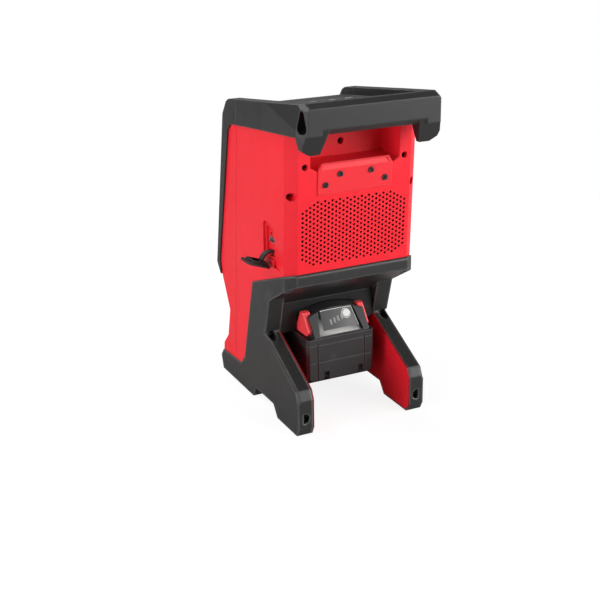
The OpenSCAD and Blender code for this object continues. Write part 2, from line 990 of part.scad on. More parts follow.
function grip_profile() = [
  [grip_front + 3, grip_low], [grip_y - 5, grip_low], [grip_y, grip_face[0]], [grip_y, grip_face[1]],
  [grip_y - 9, ridge_z(grip_y - 9)], [grip_front + 3, ridge_z(grip_front + 3)],
  [grip_front, ridge_z(grip_front) - 3], [grip_front, grip_low + 3]
];

module cage_rails() {
  intersection() {
    side_prism([
      [seam_seat_y + fit / 2, seat_z(seam_seat_y) + fit], [grip_front + 6, seat_z(grip_front + 6) + fit],
      [grip_y, grip_low], [grip_y, grip_face[1]], [grip_y - 9, ridge_z(grip_y - 9)],
      [seam_ridge_y + fit / 2, ridge_z(seam_ridge_y)]
    ], -wing_half, wing_half);
    cage_block();
    rail_bevel();
  }
}

horn_w = 30.5;
horn_in = 6;
module cage_horns() {
  low = seat_z(grip_front) - horn_l;
  root = grip_face[0];
  both_sides()
    intersection() {
      side_prism([
        [grip_front + horn_in, root - horn_in], [grip_front + horn_in + 2, low], [grip_y - 11, low],
        [grip_y, root], [grip_front + horn_in, root]
      ], 0, wing_half);
      rear_prism([
        [wing_half, root], [wing_half - 5, low + 5], [wing_half - 13, low],
        [wing_half - horn_w + 6, low], [wing_half - horn_w + 3, low + 11], [wing_half - horn_w, root]
      ], 0, far);
      cage_block();
    }
}

// Outline of a lashing eye: a small circle above a larger one, with their common tangents
module eye_outline(r_top, r_low, reach) {
  lean = asin((r_low - r_top) / reach);
  circle(r = r_low);
  translate([0, reach]) circle(r = r_top);
  polygon([
    [r_low * cos(lean), r_low * sin(lean)], [r_top * cos(lean), reach + r_top * sin(lean)],
    [-r_top * cos(lean), reach + r_top * sin(lean)], [-r_low * cos(lean), r_low * sin(lean)]
  ]);
}

eye_z = grip_face[0] + 2;
module lashing_eyes() {
  both_sides()
    on_wing_corner(eye_z)
      translate([0, 8, 0])
        rotate([90, 0, 0])
          linear_extrude(56) eye_outline(2.6, 5.6, 14.5);
}

panel_t = 2;
panel_margin = 4;
panel_front = seam_ridge_y + panel_margin;
panel_w = cage_w - 2 * rail_t - 8;
panel_l = deck_end - panel_front - panel_margin;
module panel_seat() {
  on_deck(panel_front)
    translate([-panel_w / 2 - fit, -fit, -panel_t])
      cube([panel_w + 2 * fit, panel_l + 2 * fit, panel_t + 20]);
}

module top_cage() {
  color(black)
    difference() {
      union() {
        difference() {
          cage_rails();
          deck_clear();
          translate([-gap_half, deck_end, 0]) cube([2 * gap_half, grip_y - deck_end, far]);
        }
        intersection() {
          side_prism(grip_profile(), -wing_half, wing_half);
          cage_block();
          rail_bevel();
        }
        cage_horns();
      }
      panel_seat();
      for (spot = button_spots) on_deck(panel_front) button_well(spot);
      lashing_eyes();
      corner_slope();
    }
}

// Control panel with its row of push buttons
button_row = 28;
button_gap = 21;
button_spots = [for (i = [-2:2]) [i * button_gap, button_row]];
button_h = 3.6;

module button_well(spot) {
  translate([spot[0], spot[1], -panel_t - button_stroke - 3])
    cylinder(d = button_d + 4 + 2 * run, h = button_stroke + 3 + eps);
}

module control_panel() {
  color(dark)
    on_deck(panel_front)
      difference() {
        translate([-panel_w / 2, 0, -panel_t + fit]) cube([panel_w, panel_l, panel_t - fit]);
        for (spot = button_spots)
          translate([spot[0], spot[1], -5]) cylinder(d = button_d + 2 * run, h = 10);
      }
}

// Push button: round cap over a wider flange that stops under the panel
module push_button(i) {
  color([0.25, 0.25, 0.26])
    on_deck(panel_front)
      translate([button_spots[i][0], button_spots[i][1], -panel_t]) {
        translate([0, 0, -1.4]) cylinder(d = button_d + 3, h = 1.4 - 0.3);
        translate([0, 0, -1.4]) cylinder(d = button_d, h = button_h - 0.6);
        translate([0, 0, button_h - 2 - eps]) cylinder(d1 = button_d, d2 = button_d - 1.6, h = 0.8);
      }
}

module button_power() { push_button(0); }
module button_pair() { push_button(1); }
module button_minus() { push_button(2); }
module button_play() { push_button(3); }
module button_plus() { push_button(4); }

// Base: toe, two side walls that run back as legs, and the skirt over the battery bay
function leg_outline() = [
  waist[0] + [0, -fit], toe, [-sole_half, 0], [sole_half, 0], [sole_half + sole_ramp, belly_z],
  [belly_end, belly_z], [heel_start, 0], [leg_y - heel_cut[0], 0], [leg_y, heel_cut[1]],
  [leg_y, leg_top_z], leg_top, column_low, column_high,
  [rear_y(skirt_z) - corner_cut, skirt_z], [rear_y(skirt_z) - corner_cut, shelf_z - fit],
  [base_knee[0] + (shelf_z - base_knee[1]) * shelf_run, shelf_z - fit], base_knee + [0, -fit],
  base_heel + [fit, -fit], base_foot + [0, -fit]
];

// Skirt across the rear, over the bay, and the bay's ceiling under the red floor
skirt_toe = 4;
function skirt_outline() = [
  [bay_front - bay_wall, bay_z], [column_high[0] - 12, bay_z], [column_high[0], column_high[1]],
  [rear_y(skirt_z) - skirt_toe, skirt_z - skirt_toe], [rear_y(shelf_z) + skirt_out, skirt_z],
  [rear_y(shelf_z) + skirt_out, shelf_z + skirt_rise - fit - skirt_bevel],
  [rear_y(shelf_z), shelf_z + skirt_rise - fit], [shelf_end, shelf_z - fit],
  [base_knee[0] + (shelf_z - base_knee[1]) * shelf_run, shelf_z - fit], base_knee + [0, -fit],
  [base_line_y(bay_z + bay_wall) + 2 * fit, bay_z + bay_wall], [bay_front - bay_wall, bay_z + bay_wall]
];

module skirt() {
  half = base_w / 2;
  intersection() {
    side_prism(skirt_outline(), -half, half);
    translate([0, rear_y(shelf_z) + skirt_out, 0])
      plan_prism([
        [-half, -far], [half, -far], [half, -corner_cut], [half - corner_cut, 0],
        [corner_cut - half, 0], [-half, -corner_cut]
      ], 0, far);
    union() {
      translate([-half, column_high[0] - 20, 0]) cube([2 * half, far, far]);
      translate([-bay_half - bay_wall, -far / 2, 0]) cube([2 * (bay_half + bay_wall), far, far]);
    }
  }
}

// Walls of the bay in front of the columns
module bay_walls() {
  half = bay_half + bay_wall;
  difference() {
    translate([-half, bay_front - bay_wall, belly_z])
      cube([2 * half, column_low[0] - bay_front, bay_z + bay_wall - belly_z]);
    translate([-bay_half, bay_front, -1]) cube([2 * bay_half, far, bay_z + 1]);
  }
}

module toe_block() {
  side_prism([
    waist[0] + [0, -fit], toe, [-sole_half, 0], [sole_half, 0], [sole_half + sole_ramp, belly_z],
    [sole_half, belly_z + sole_ramp], base_foot + [0, -fit]
  ], -bay_half - eps, bay_half + eps);
}

// Wells of the base: in the heels, at the foot of the columns and under the skirt
heel_screw = [leg_mid + 1.5, 20];
heel_flat = 1.7;
heel_shift = 1.6;
column_screw = [leg_mid + 2.5, column_low[1] - 2];
skirt_screw = [leg_mid + 2, shelf_end - 2];
heel_well_r = 5.6;
base_well_r = 4.5;

module base_wells() {
  both_sides() {
    translate([heel_screw[0], leg_y, heel_screw[1]]) {
      intersection() {
        y_rod(heel_well_r, -well_depth, far / 8);
        translate([-far, -far, -far]) cube([far + heel_flat, 2 * far, 2 * far]);
      }
      translate([-heel_shift, 0, 0]) screw_well(screw_head[0]);
    }
    translate([column_screw[0], column_low[0] + 2, column_screw[1]]) screw_well(base_well_r);
    on_skirt_screw() screw_well(base_well_r);
  }
}

// Frame of the upright screw that joins the base to the rear shell
module on_skirt_screw() {
  translate([skirt_screw[0], skirt_screw[1], skirt_z - 7]) rotate([-90, 0, 0]) children();
}

module base_screws() {
  color(steel)
    both_sides() {
      translate([heel_screw[0] - heel_shift, leg_y, heel_screw[1]]) seated_screw();
      translate([column_screw[0], column_low[0] + 2, column_screw[1]]) seated_screw();
      on_skirt_screw() seated_screw();
    }
}

module leg_bevels() {
  x = base_w / 2;
  edge_bevel([leg_y, leg_top_z], leg_top, x, edge_cut);
  edge_bevel(leg_top, column_low, x, edge_cut);
}

module base_housing() {
  color(black)
    difference() {
      union() {
        both_sides()
          difference() {
            side_prism(leg_outline(), base_w / 2 - leg_t, base_w / 2);
            leg_bevels();
          }
        skirt();
        bay_walls();
        toe_block();
      }
      both_sides() liner_slab(fit);
      base_wells();
      receiver_seat();
    }
}

// Red liners let into the inner faces of the legs, out to the legs' top and rear edges
liner_inset = 1.5;
liner_front = sole_half + 12;
module liner_slab(grow) {
  inset = liner_inset - grow;
  over = grow > 0 ? 2 : 0;
  front = liner_front - grow;
  side_prism([
    [front, belly_z + inset], [belly_end, belly_z + inset], [heel_start, inset],
    [leg_y - heel_cut[0], inset], [leg_y + over, heel_cut[1] + over], [leg_y + over, leg_top_z + over / 2],
    leg_top + [over, over], column_low + [-grow, over],
    column_low + [-grow, -inset], [front, column_low[1] - inset]
  ], bay_half - over / 2, bay_half + liner_t + grow);
}

module liner_left() {
  color(red) liner_slab(0);
}

module liner_right() {
  color(red) mirror([1, 0, 0]) liner_slab(0);
}

// Receiver under the bay's ceiling: two rails that hold the pack's head and a contact block
case_top = pack_z + pack_h;
head_top = case_top + head_h;
slot_z = case_top + 9;
slot_h = 5;
slot_in = 4;
rail_end = 72;
head_half = head_w / 2;
module receiver_seat() {
  translate([-head_half - 7 - fit, bay_front - fit, bay_z - eps])
    cube([2 * (head_half + 7 + fit), rail_end - bay_front + 2 * fit, 1.2 + fit]);
}

module battery_receiver() {
  color(dark)
    difference() {
      translate([-head_half - 7, bay_front, slot_z - 4])
        cube([2 * (head_half + 7), rail_end - bay_front, bay_z + 1.2 - slot_z + 4]);
      translate([-head_half - run, bay_front - 1, 0])
        cube([2 * (head_half + run), far, head_top + run]);
    }
  color(dark)
    both_sides()
      translate([head_half - slot_in + run, bay_front, slot_z + run])
        cube([slot_in + 1, rail_end - bay_front, slot_h - 2 * run]);
  color([0.75, 0.65, 0.35])
    for (x = blade_spots)
      translate([x - 0.4, bay_front, head_top - 13]) cube([0.8, 13, 14]);
}

// Battery pack: lower shell, upper shell with head, cells inside
pack_rear = pack_y + pack_l;
split_z = pack_z + 21;
pack_wall = 2;
pack_corner = 3;
pack_foot = [6, 4];
notch_spots = [-23.5, 18];
notch_size = [7, 5, 9];
panel_half = pack_w / 2 - 13;
groove_w = 1.4;
groove_t = 1;
label_top = [pack_rear - 15.5, head_top];
label_low = [pack_rear + 3, case_top + 3];

function pack_plan(grow) = let (h = pack_w / 2 + grow, c = pack_corner) [
  [c - h, pack_y - grow], [h - c, pack_y - grow], [h, pack_y + c], [h, pack_rear - c],
  [h - c, pack_rear + grow], [c - h, pack_rear + grow], [-h, pack_rear - c], [-h, pack_y + c]
];

module pack_hollow() {
  half = cell_l / 2 + cell_gap;
  length = 4 * cell_pitch + 2 * cell_r + 2 * cell_gap;
  translate([-half, pack_y + (pack_l - length) / 2, pack_z + pack_wall])
    cube([2 * half, length, 2 * (cell_r + cell_gap) + cell_step]);
}

// Upright grooves that frame the middle of the pack's rear
module rear_grooves() {
  both_sides()
    translate([panel_half, pack_rear - groove_t, pack_z - 1])
      cube([groove_w, groove_t + 1, case_top - pack_z - 3]);
}

module battery_lower() {
  half = pack_w / 2;
  color(dark)
    difference() {
      intersection() {
        plan_prism(pack_plan(0), pack_z, split_z - fit / 2);
        rear_prism([
          [half - pack_foot[0], pack_z], [half, pack_z + pack_foot[1]], [half, far],
          [-half, far], [-half, pack_z + pack_foot[1]], [pack_foot[0] - half, pack_z]
        ], -far, far);
      }
      pack_hollow();
      rear_grooves();
      for (x = notch_spots)
        box(notch_size + [0, notch_size[1], 1], [x, pack_rear, pack_z - 1]);
    }
}

// Barrel surface of the head's sloping end, and the arch over the head
label_r = 100;
arch_r = 100;
module label_barrel(grow) {
  on_label()
    translate([0, 0, -label_r])
      rotate([90, 0, 0]) cylinder(r = label_r + grow, h = far, center = true);
}

module pack_head() {
  intersection() {
    side_prism([
      [pack_y, case_top - 1], [pack_rear - 2, case_top - 1], label_low, label_top, [pack_y, head_top]
    ], -head_half, head_half);
    label_barrel(0);
    translate([0, 0, head_top - arch_r]) y_rod(arch_r, -far / 2, far / 2);
  }
}

seam_z = split_z + 20;
seam_size = 0.8;
blade_spots = [-18, -9, 0, 9, 18];
module battery_upper() {
  color(dark)
    difference() {
      union() {
        plan_prism(pack_plan(0), split_z + fit / 2, case_top);
        pack_head();
      }
      pack_hollow();
      rear_grooves();
      both_sides() {
        translate([head_half - slot_in, pack_y - 1, slot_z])
          cube([slot_in + 1, rail_end + 4 - pack_y, slot_h]);
        latch_pocket();
      }
      difference() {
        plan_prism(pack_plan(5), seam_z, seam_z + seam_size);
        plan_prism(pack_plan(-seam_size), seam_z - 1, seam_z + seam_size + 1);
      }
      for (x = blade_spots)
        translate([x - 1.2, pack_y - 1, head_top - 14]) cube([2.4, 17, 20]);
      label_plate(fit, label_t, far / 40);
      on_label() translate([gauge_at[0], gauge_at[1], -6]) cylinder(r = gauge_r + run, h = 12);
    }
}

cell_r = 9.1;
cell_l = 65;
cell_step = 19;
cell_pitch = 20;
cell_gap = 0.5;
module battery_cells() {
  color([0.2, 0.45, 0.6])
    for (row = [0, 1], i = [0:4])
      translate([
        -cell_l / 2, pack_y + pack_l / 2 + (i - 2) * cell_pitch,
        pack_z + pack_wall + cell_r + cell_gap + row * cell_step
      ])
        rotate([0, 90, 0]) cylinder(r = cell_r, h = cell_l);
}

// Label plate on the sloping end of the head, with the charge gauge
label_w = [53, 42];
label_l = 29;
label_t = 1;
label_proud = 0.2;
gauge_at = [11, 6];
gauge_r = 4.2;
module on_label() {
  mid = (label_top + label_low) / 2;
  turn = atan2(label_low[1] - label_top[1], label_low[0] - label_top[0]);
  translate([0, mid[0], mid[1]]) rotate([turn, 0, 0]) rotate([0, 0, 180]) children();
}

module label_plate(grow, sunk, proud) {
  low = label_w[0] / 2 + grow;
  high = label_w[1] / 2 + grow;
  half = label_l / 2 + grow;
  difference() {
    intersection() {
      on_label()
        plan_prism([[-low, -half], [low, -half], [high, half], [-high, half]], -far / 20, far / 20);
      label_barrel(proud);
    }
    label_barrel(-sunk);
  }
}

module battery_label() {
  color([0.42, 0.42, 0.42])
    difference() {
      label_plate(0, label_t - fit, label_proud);
      on_label() translate([gauge_at[0], gauge_at[1], -6]) cylinder(r = gauge_r + run, h = 16);
    }
}

bar_size = [2.6, 6];
bar_t = 0.5;
bar_step = 4.6;
bar_first = 6.6;
bar_low = 3;
bar_fall = 1.3;
module gauge_bars() {
  color([0.75, 0.75, 0.75])
    difference() {
      intersection() {
        on_label()
          for (i = [0:3])
            translate([gauge_at[0] - bar_first - i * bar_step, gauge_at[1] - bar_low - i * bar_fall, 0])
              box([bar_size[0], bar_size[1], far / 20], [0, 0, -5]);
        label_barrel(label_proud + bar_t);
      }
      label_barrel(label_proud);
    }
}

module gauge_button() {
  color([0.9, 0.9, 0.9])
    on_label()
      translate([gauge_at[0], gauge_at[1], -3.6]) cylinder(r = gauge_r, h = 4.2);
}

// Release latches, pressed in from both sides of the head
latch_out = 4;
latch_end = pack_rear - 5.5;
latch_stroke = 2.5;
latch_in = 4;
latch_bevel = 1.2;
function latch_outline(grow) = [
  [rail_end + 6 - grow, case_top + 1.5 - grow], [pack_rear - 10 + grow, case_top + 1.5 - grow],
  [latch_end + grow, case_top + 6 - grow], [latch_end + grow, case_top + 9 + grow],
  [latch_end - 13 + grow, head_top - 2.5 + grow], [latch_end - 20, head_top - 2.5 + grow]
];

module latch_pocket() {
  side_prism(latch_outline(run), head_half - latch_in - latch_stroke - run, far / 4);
}

module latch() {
  color(red)
    difference() {
      side_prism(latch_outline(0), head_half - latch_in, head_half + latch_out);
      edge_bevel(
        [latch_end, case_top + 9], [latch_end - 13, head_top - 2.5], head_half + latch_out, latch_bevel
      );
    }
}

module latch_left() { latch(); }
module latch_right() { mirror([1, 0, 0]) latch(); }

front_frame();
front_grille();
front_housing();
rear_housing();
rear_grille();
access_plate();
plate_screws();
shell_screws();
top_cage();
control_panel();
button_power();
button_pair();
button_minus();
button_play();
button_plus();
baffle();
woofer_basket();
woofer_cone();
tweeter();
radiator_frame();
radiator_membrane();
main_board();
base_housing();
liner_left();
liner_right();
base_screws();
battery_receiver();
usb_socket();
audio_jack();
port_cover();
cover_strap();
battery_lower();
battery_upper();
battery_cells();
battery_label();
gauge_bars();
gauge_button();
latch_left();
latch_right();
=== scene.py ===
import math
import bmesh
import bpy
from mathutils import Matrix, Vector
from mathutils.geometry import convex_hull_2d


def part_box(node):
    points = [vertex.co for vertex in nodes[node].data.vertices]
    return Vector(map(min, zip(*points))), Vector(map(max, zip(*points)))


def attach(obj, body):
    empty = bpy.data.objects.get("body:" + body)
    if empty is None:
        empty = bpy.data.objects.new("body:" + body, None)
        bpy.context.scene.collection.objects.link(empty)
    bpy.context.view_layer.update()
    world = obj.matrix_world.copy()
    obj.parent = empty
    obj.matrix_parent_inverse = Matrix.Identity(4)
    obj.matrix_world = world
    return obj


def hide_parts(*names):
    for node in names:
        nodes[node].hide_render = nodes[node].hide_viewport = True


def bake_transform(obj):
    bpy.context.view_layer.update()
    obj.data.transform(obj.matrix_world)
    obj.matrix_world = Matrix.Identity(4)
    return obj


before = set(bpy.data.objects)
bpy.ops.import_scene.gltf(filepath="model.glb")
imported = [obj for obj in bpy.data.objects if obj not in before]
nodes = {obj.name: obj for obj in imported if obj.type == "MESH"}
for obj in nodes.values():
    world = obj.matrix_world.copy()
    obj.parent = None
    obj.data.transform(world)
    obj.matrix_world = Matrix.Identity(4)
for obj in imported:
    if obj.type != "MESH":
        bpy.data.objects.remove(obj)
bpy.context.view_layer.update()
scene = bpy.context.scene
print("frame loaded:", len(nodes), "nodes")

# faces of the housing, by how many degrees they lean
leans = {"front": 11, "rear": 2.95, "deck": 7.2}
frontLean, rearLean, deckLean = (math.radians(angle) for angle in leans.values())
frontAxis = Vector((0, math.cos(frontLean), -math.sin(frontLean)))
rearNormal = Vector((0, math.cos(rearLean), -math.sin(rearLean)))
rearUp = Vector((0, math.sin(rearLean), math.cos(rearLean)))
deckNormal = Vector((0, -math.sin(deckLean), math.cos(deckLean)))
deckUp = Vector((0, math.cos(deckLean), math.sin(deckLean)))
sideways = Vector((1, 0, 0))
sameFace = 1e-5  # points this close lie in one face, or are one corner


# camera, from the fit of the photo's straight edges
camView = {
    "azimuth": 154.57, "elevation": 20.40, "distance": 1.29196, "roll": -1.0,
    "target": (0.01883, 0.05254, 0.10877), "lens": 68.996, "sensor": 36, "clip": (0.05, 30),
}


def makeCamera(view):
    az, el, roll = (math.radians(view[k]) for k in ("azimuth", "elevation", "roll"))
    back = Vector((math.sin(az) * math.cos(el), -math.cos(az) * math.cos(el), math.sin(el)))
    right = Vector((math.cos(az), math.sin(az), 0))
    up = back.cross(right)
    tiltedRight = right * math.cos(roll) + up * math.sin(roll)
    tiltedUp = up * math.cos(roll) - right * math.sin(roll)
    camera = bpy.data.objects.new("photoCamera", bpy.data.cameras.new("photoCamera"))
    camera.data.lens = view["lens"]
    camera.data.sensor_width = view["sensor"]
    camera.data.clip_start, camera.data.clip_end = view["clip"]
    turn = Matrix((tiltedRight, tiltedUp, back)).transposed()
    stand = Vector(view["target"]) + back * view["distance"]
    camera.matrix_world = Matrix.Translation(stand) @ turn.to_4x4()
    scene.collection.objects.link(camera)
    scene.camera = camera


makeCamera(camView)
print("camera done")


# node trees
def addNode(tree, kind, **values):
    node = tree.nodes.new(kind)
    for key, value in values.items():
        if key in node.inputs:
            node.inputs[key].default_value = value
        else:
            setattr(node, key, value)
    return node


# an input takes another node's output or a plain value
def feed(tree, socket, value):
    if isinstance(value, bpy.types.NodeSocket):
        tree.links.new(value, socket)
    elif value is not None:
        socket.default_value = value


def mathNode(tree, operation, a, b=None, clamp=False):
    node = addNode(tree, "ShaderNodeMath", operation=operation, use_clamp=clamp)
    feed(tree, node.inputs[0], a)
    feed(tree, node.inputs[1], b)
    return node.outputs[0]


def vectorNode(tree, operation, a, b=None):
    node = addNode(tree, "ShaderNodeVectorMath", operation=operation)
    feed(tree, node.inputs[0], a)
    feed(tree, node.inputs[1], b)
    return node.outputs["Value" if operation in ("DOT_PRODUCT", "LENGTH") else "Vector"]


def rangeNode(tree, value, low, high, outLow=0.0, outHigh=1.0):
    node = addNode(tree, "ShaderNodeMapRange", clamp=True)
    ends = {"Value": value, "From Min": low, "From Max": high, "To Min": outLow, "To Max": outHigh}
    for key, number in ends.items():
        feed(tree, node.inputs[key], number)
    return node.outputs[0]


mixSockets = {"a": 6, "b": 7, "result": 2}  # where the mix node keeps its colours


def mixColour(tree, mask, a, b):
    node = addNode(tree, "ShaderNodeMix", data_type="RGBA")
    feed(tree, node.inputs[0], mask)
    for key, colour in (("a", a), ("b", b)):
        socket = node.inputs[mixSockets[key]]
        feed(tree, socket, (*colour, 1) if isinstance(colour, tuple) else colour)
    return node.outputs[mixSockets["result"]]


def objectPlace(tree):
    return tree.nodes.new("ShaderNodeTexCoord").outputs["Object"]


def trueNormal(tree):
    return tree.nodes.new("ShaderNodeNewGeometry").outputs["True Normal"]


def partOf(tree, vector, axis):
    split = tree.nodes.new("ShaderNodeSeparateXYZ")
    tree.links.new(vector, split.inputs[0])
    return split.outputs[axis]


def noiseNode(tree, place, **values):
    node = addNode(tree, "ShaderNodeTexNoise", **values)
    tree.links.new(place, node.inputs["Vector"])
    return node


# noise drawn out along one direction, for scratches and brushing
def streakNode(tree, place, detail, **mappingValues):
    mapping = addNode(tree, "ShaderNodeMapping", **mappingValues)
    tree.links.new(place, mapping.inputs["Vector"])
    return noiseNode(tree, mapping.outputs[0], Scale=1.0, Detail=detail).outputs[0]


floatSocket, vectorSocket = "NodeSocketFloat", "NodeSocketVector"


def newGroup(name, inputs, outputs):
    tree = bpy.data.node_groups.new(name, "ShaderNodeTree")
    for label, value in inputs.items():
        socket = tree.interface.new_socket(name=label, in_out="INPUT", socket_type=floatSocket)
        socket.default_value = value
    for label, kind in outputs.items():
        tree.interface.new_socket(name=label, in_out="OUTPUT", socket_type=kind)
    return tree, tree.nodes.new("NodeGroupInput"), tree.nodes.new("NodeGroupOutput")


# rounded look of moulded edges, with a mask along them
edgeShape = {"radius": 0.0008, "samples": 6, "bend": (0.01, 0.16)}


def buildSoftEdge(look):
    tree, given, made = newGroup(
        "softEdge", {"Radius": look["radius"]}, {"Normal": vectorSocket, "Edge": floatSocket})
    bevel = addNode(tree, "ShaderNodeBevel", samples=look["samples"])
    tree.links.new(given.outputs["Radius"], bevel.inputs["Radius"])
    along = vectorNode(tree, "DOT_PRODUCT", bevel.outputs[0], trueNormal(tree))
    bend = mathNode(tree, "SUBTRACT", 1.0, along)
    tree.links.new(bevel.outputs[0], made.inputs["Normal"])
    tree.links.new(rangeNode(tree, bend, *look["bend"]), made.inputs["Edge"])
    return tree


# spark-eroded mould texture: fine pits, patchy sheen and slow drifts of tone
grainShape = {
    "scale": 1400.0, "roughness": 0.45, "spread": 0.12, "pits": {"Detail": 2.0, "Roughness": 0.6},
    "cellScale": 0.7, "cellHeight": 0.5, "patches": {"Scale": 38.0, "Detail": 4.0, "Roughness": 0.6},
    "drift": {"Scale": 9.0, "Detail": 3.0}, "tone": (0.3, 0.7), "grit": 0.12, "noiseMiddle": 0.5,
}


def buildMouldGrain(look):
    tree, given, made = newGroup(
        "mouldGrain",
        {"Scale": look["scale"], "Roughness": look["roughness"], "Spread": look["spread"]},
        {"Height": floatSocket, "Roughness": floatSocket, "Tone": floatSocket})
    place = objectPlace(tree)
    pits, patches, drift = (noiseNode(tree, place, **look[k]) for k in ("pits", "patches", "drift"))
    cells = tree.nodes.new("ShaderNodeTexVoronoi")
    tree.links.new(place, cells.inputs["Vector"])
    scale, middle = given.outputs["Scale"], look["noiseMiddle"]
    tree.links.new(scale, pits.inputs["Scale"])
    tree.links.new(mathNode(tree, "MULTIPLY", scale, look["cellScale"]), cells.inputs["Scale"])
    cellHeight = mathNode(tree, "MULTIPLY", cells.outputs["Distance"], look["cellHeight"])
    tree.links.new(mathNode(tree, "ADD", pits.outputs[0], cellHeight), made.inputs["Height"])
    patchy = mathNode(tree, "SUBTRACT", patches.outputs[0], middle)
    sheen = mathNode(tree, "MULTIPLY", patchy, given.outputs["Spread"])
    grit = mathNode(tree, "MULTIPLY", mathNode(tree, "SUBTRACT", pits.outputs[0], middle), look["grit"])
    uneven = mathNode(tree, "ADD", sheen, grit)
    rough = mathNode(tree, "ADD", given.outputs["Roughness"], uneven, clamp=True)
    tree.links.new(rough, made.inputs["Roughness"])
    tree.links.new(rangeNode(tree, drift.outputs[0], *look["tone"]), made.inputs["Tone"])
    return tree


# handling marks: short fine scratches in two directions, gathered in patches
scuffShape = {
    "amount": 0.5, "scratch": (0.66, 0.74), "scratchDetail": 1.0, "patch": (0.5, 0.68),
    "patchNoise": {"Scale": 26.0, "Detail": 2.0},
    "directions": (((0.4, 0.2, 0.9), (900, 30, 60)), ((1.1, 0.7, -0.5), (40, 800, 50))),
}


def buildScuffs(look):
    tree, given, made = newGroup("scuffs", {"Amount": look["amount"]}, {"Mask": floatSocket})
    place = objectPlace(tree)
    masks = []
    for turn, scale in look["directions"]:
        streak = streakNode(tree, place, look["scratchDetail"], Rotation=turn, Scale=scale)
        masks.append(rangeNode(tree, streak, *look["scratch"]))
    patch = noiseNode(tree, place, **look["patchNoise"]).outputs[0]
    both = mathNode(tree, "MAXIMUM", *masks)
    here = mathNode(tree, "MULTIPLY", both, rangeNode(tree, patch, *look["patch"]))
    mask = mathNode(tree, "MULTIPLY", here, given.outputs["Amount"], clamp=True)
    tree.links.new(mask, made.inputs["Mask"])
    return tree


# pale dust that settles on faces that look up
dustShape = {
    "amount": 0.3, "facing": (0.35, 0.95), "speck": (0.45, 0.75),
    "specks": {"Scale": 420.0, "Detail": 4.0, "Roughness": 0.7},
}


def buildDust(look):
    tree, given, made = newGroup("settledDust", {"Amount": look["amount"]}, {"Mask": floatSocket})
    normal = tree.nodes.new("ShaderNodeNewGeometry").outputs["Normal"]
    specks = noiseNode(tree, objectPlace(tree), **look["specks"]).outputs[0]
    facing = rangeNode(tree, partOf(tree, normal, "Z"), *look["facing"])
    here = mathNode(tree, "MULTIPLY", facing, rangeNode(tree, specks, *look["speck"]))
    mask = mathNode(tree, "MULTIPLY", here, given.outputs["Amount"], clamp=True)
    tree.links.new(mask, made.inputs["Mask"])
    return tree


# painted shade in deep wells and holes: darker where the surface is closed in and little light gets in
cavityShadeShape = {"reach": 0.006, "samples": 8, "open": (0.24, 0.50)}


def buildCavityShade(look):
    tree, given, made = newGroup("cavityShadeGroup", {"Reach": look["reach"]}, {"Mask": floatSocket})
    openness = addNode(tree, "ShaderNodeAmbientOcclusion", samples=look["samples"], only_local=True)
    tree.links.new(given.outputs["Reach"], openness.inputs["Distance"])
    tree.links.new(rangeNode(tree, openness.outputs["AO"], *look["open"], 1.0, 0.0), made.inputs["Mask"])
    return tree


softEdge, mouldGrain, scuffs = buildSoftEdge(edgeShape), buildMouldGrain(grainShape), buildScuffs(scuffShape)
settledDust, cavityShadeGroup = buildDust(dustShape), buildCavityShade(cavityShadeShape)


def useGroup(tree, group, **values):
    node = tree.nodes.new("ShaderNodeGroup")
    node.node_tree = group
    for key, value in values.items():
        node.inputs[key].default_value = value
    return node


def useEdgeAndGrain(tree, look):
    edge = useGroup(tree, softEdge, Radius=look["edgeRadius"])
    grain = useGroup(
        tree, mouldGrain, Scale=look["grain"], Roughness=look["roughness"], Spread=look["spread"])
    return edge, grain


def newMaterial(name, colour, metallic=0.0, specular=0.5):
    material = bpy.data.materials.new(name)
    material.use_nodes = True
    material.diffuse_color = (*colour, 1)
    tree = material.node_tree
    shader = tree.nodes["Principled BSDF"]
    shader.inputs["Metallic"].default_value = metallic
    shader.inputs["Specular IOR Level"].default_value = specular
    return material, tree, shader


def finishSurface(tree, shader, look, colour, roughness, height, edge):
    bump = addNode(tree, "ShaderNodeBump", Strength=look["bump"], Distance=look["depth"])
    tree.links.new(height, bump.inputs["Height"])
    tree.links.new(edge.outputs["Normal"], bump.inputs["Normal"])
    tree.links.new(bump.outputs[0], shader.inputs["Normal"])
    tree.links.new(roughness, shader.inputs["Roughness"])
    tree.links.new(colour, shader.inputs["Base Color"])


# moulded plastic and rubber share one build, each with its own values
def mouldedMaterial(name, look, paint=None):
    material, tree, shader = newMaterial(name, look["colour"], specular=look["specular"])
    edge, grain = useEdgeAndGrain(tree, look)
    marks = useGroup(tree, scuffs, Amount=look["scuffs"]).outputs["Mask"]
    dust = useGroup(tree, settledDust, Amount=look["dust"]).outputs["Mask"]
    paintedCavityShade = useGroup(tree, cavityShadeGroup, Reach=look["cavityShadeReach"]).outputs["Mask"]
    # lighter edges: partly wear, partly a painted highlight on edges that catch light
    wornAndHighlit = mathNode(tree, "MULTIPLY", edge.outputs["Edge"], look["wearAndHighlight"])
    colour = mixColour(tree, grain.outputs["Tone"], look["colour"], look["drift"])
    if paint:
        colour = paint(tree, colour, look)
    # worn edges, scuff marks and settled dust, then the painted shade in deep cavities
    for mask, tint in ((wornAndHighlit, "wornAndHighlit"), (marks, "wornAndHighlit"), (dust, "dustColour"), (paintedCavityShade, "paintedCavityShade")):
        colour = mixColour(tree, mask, colour, look[tint])
    dusty = mathNode(tree, "MULTIPLY", dust, look["dustRoughness"])
    polished = mathNode(tree, "MULTIPLY", wornAndHighlit, look["wornPolish"])
    rough = mathNode(tree, "ADD", grain.outputs["Roughness"], dusty)
    rough = mathNode(tree, "SUBTRACT", rough, polished, clamp=True)
    finishSurface(tree, shader, look, colour, rough, grain.outputs["Height"], edge)
    return material
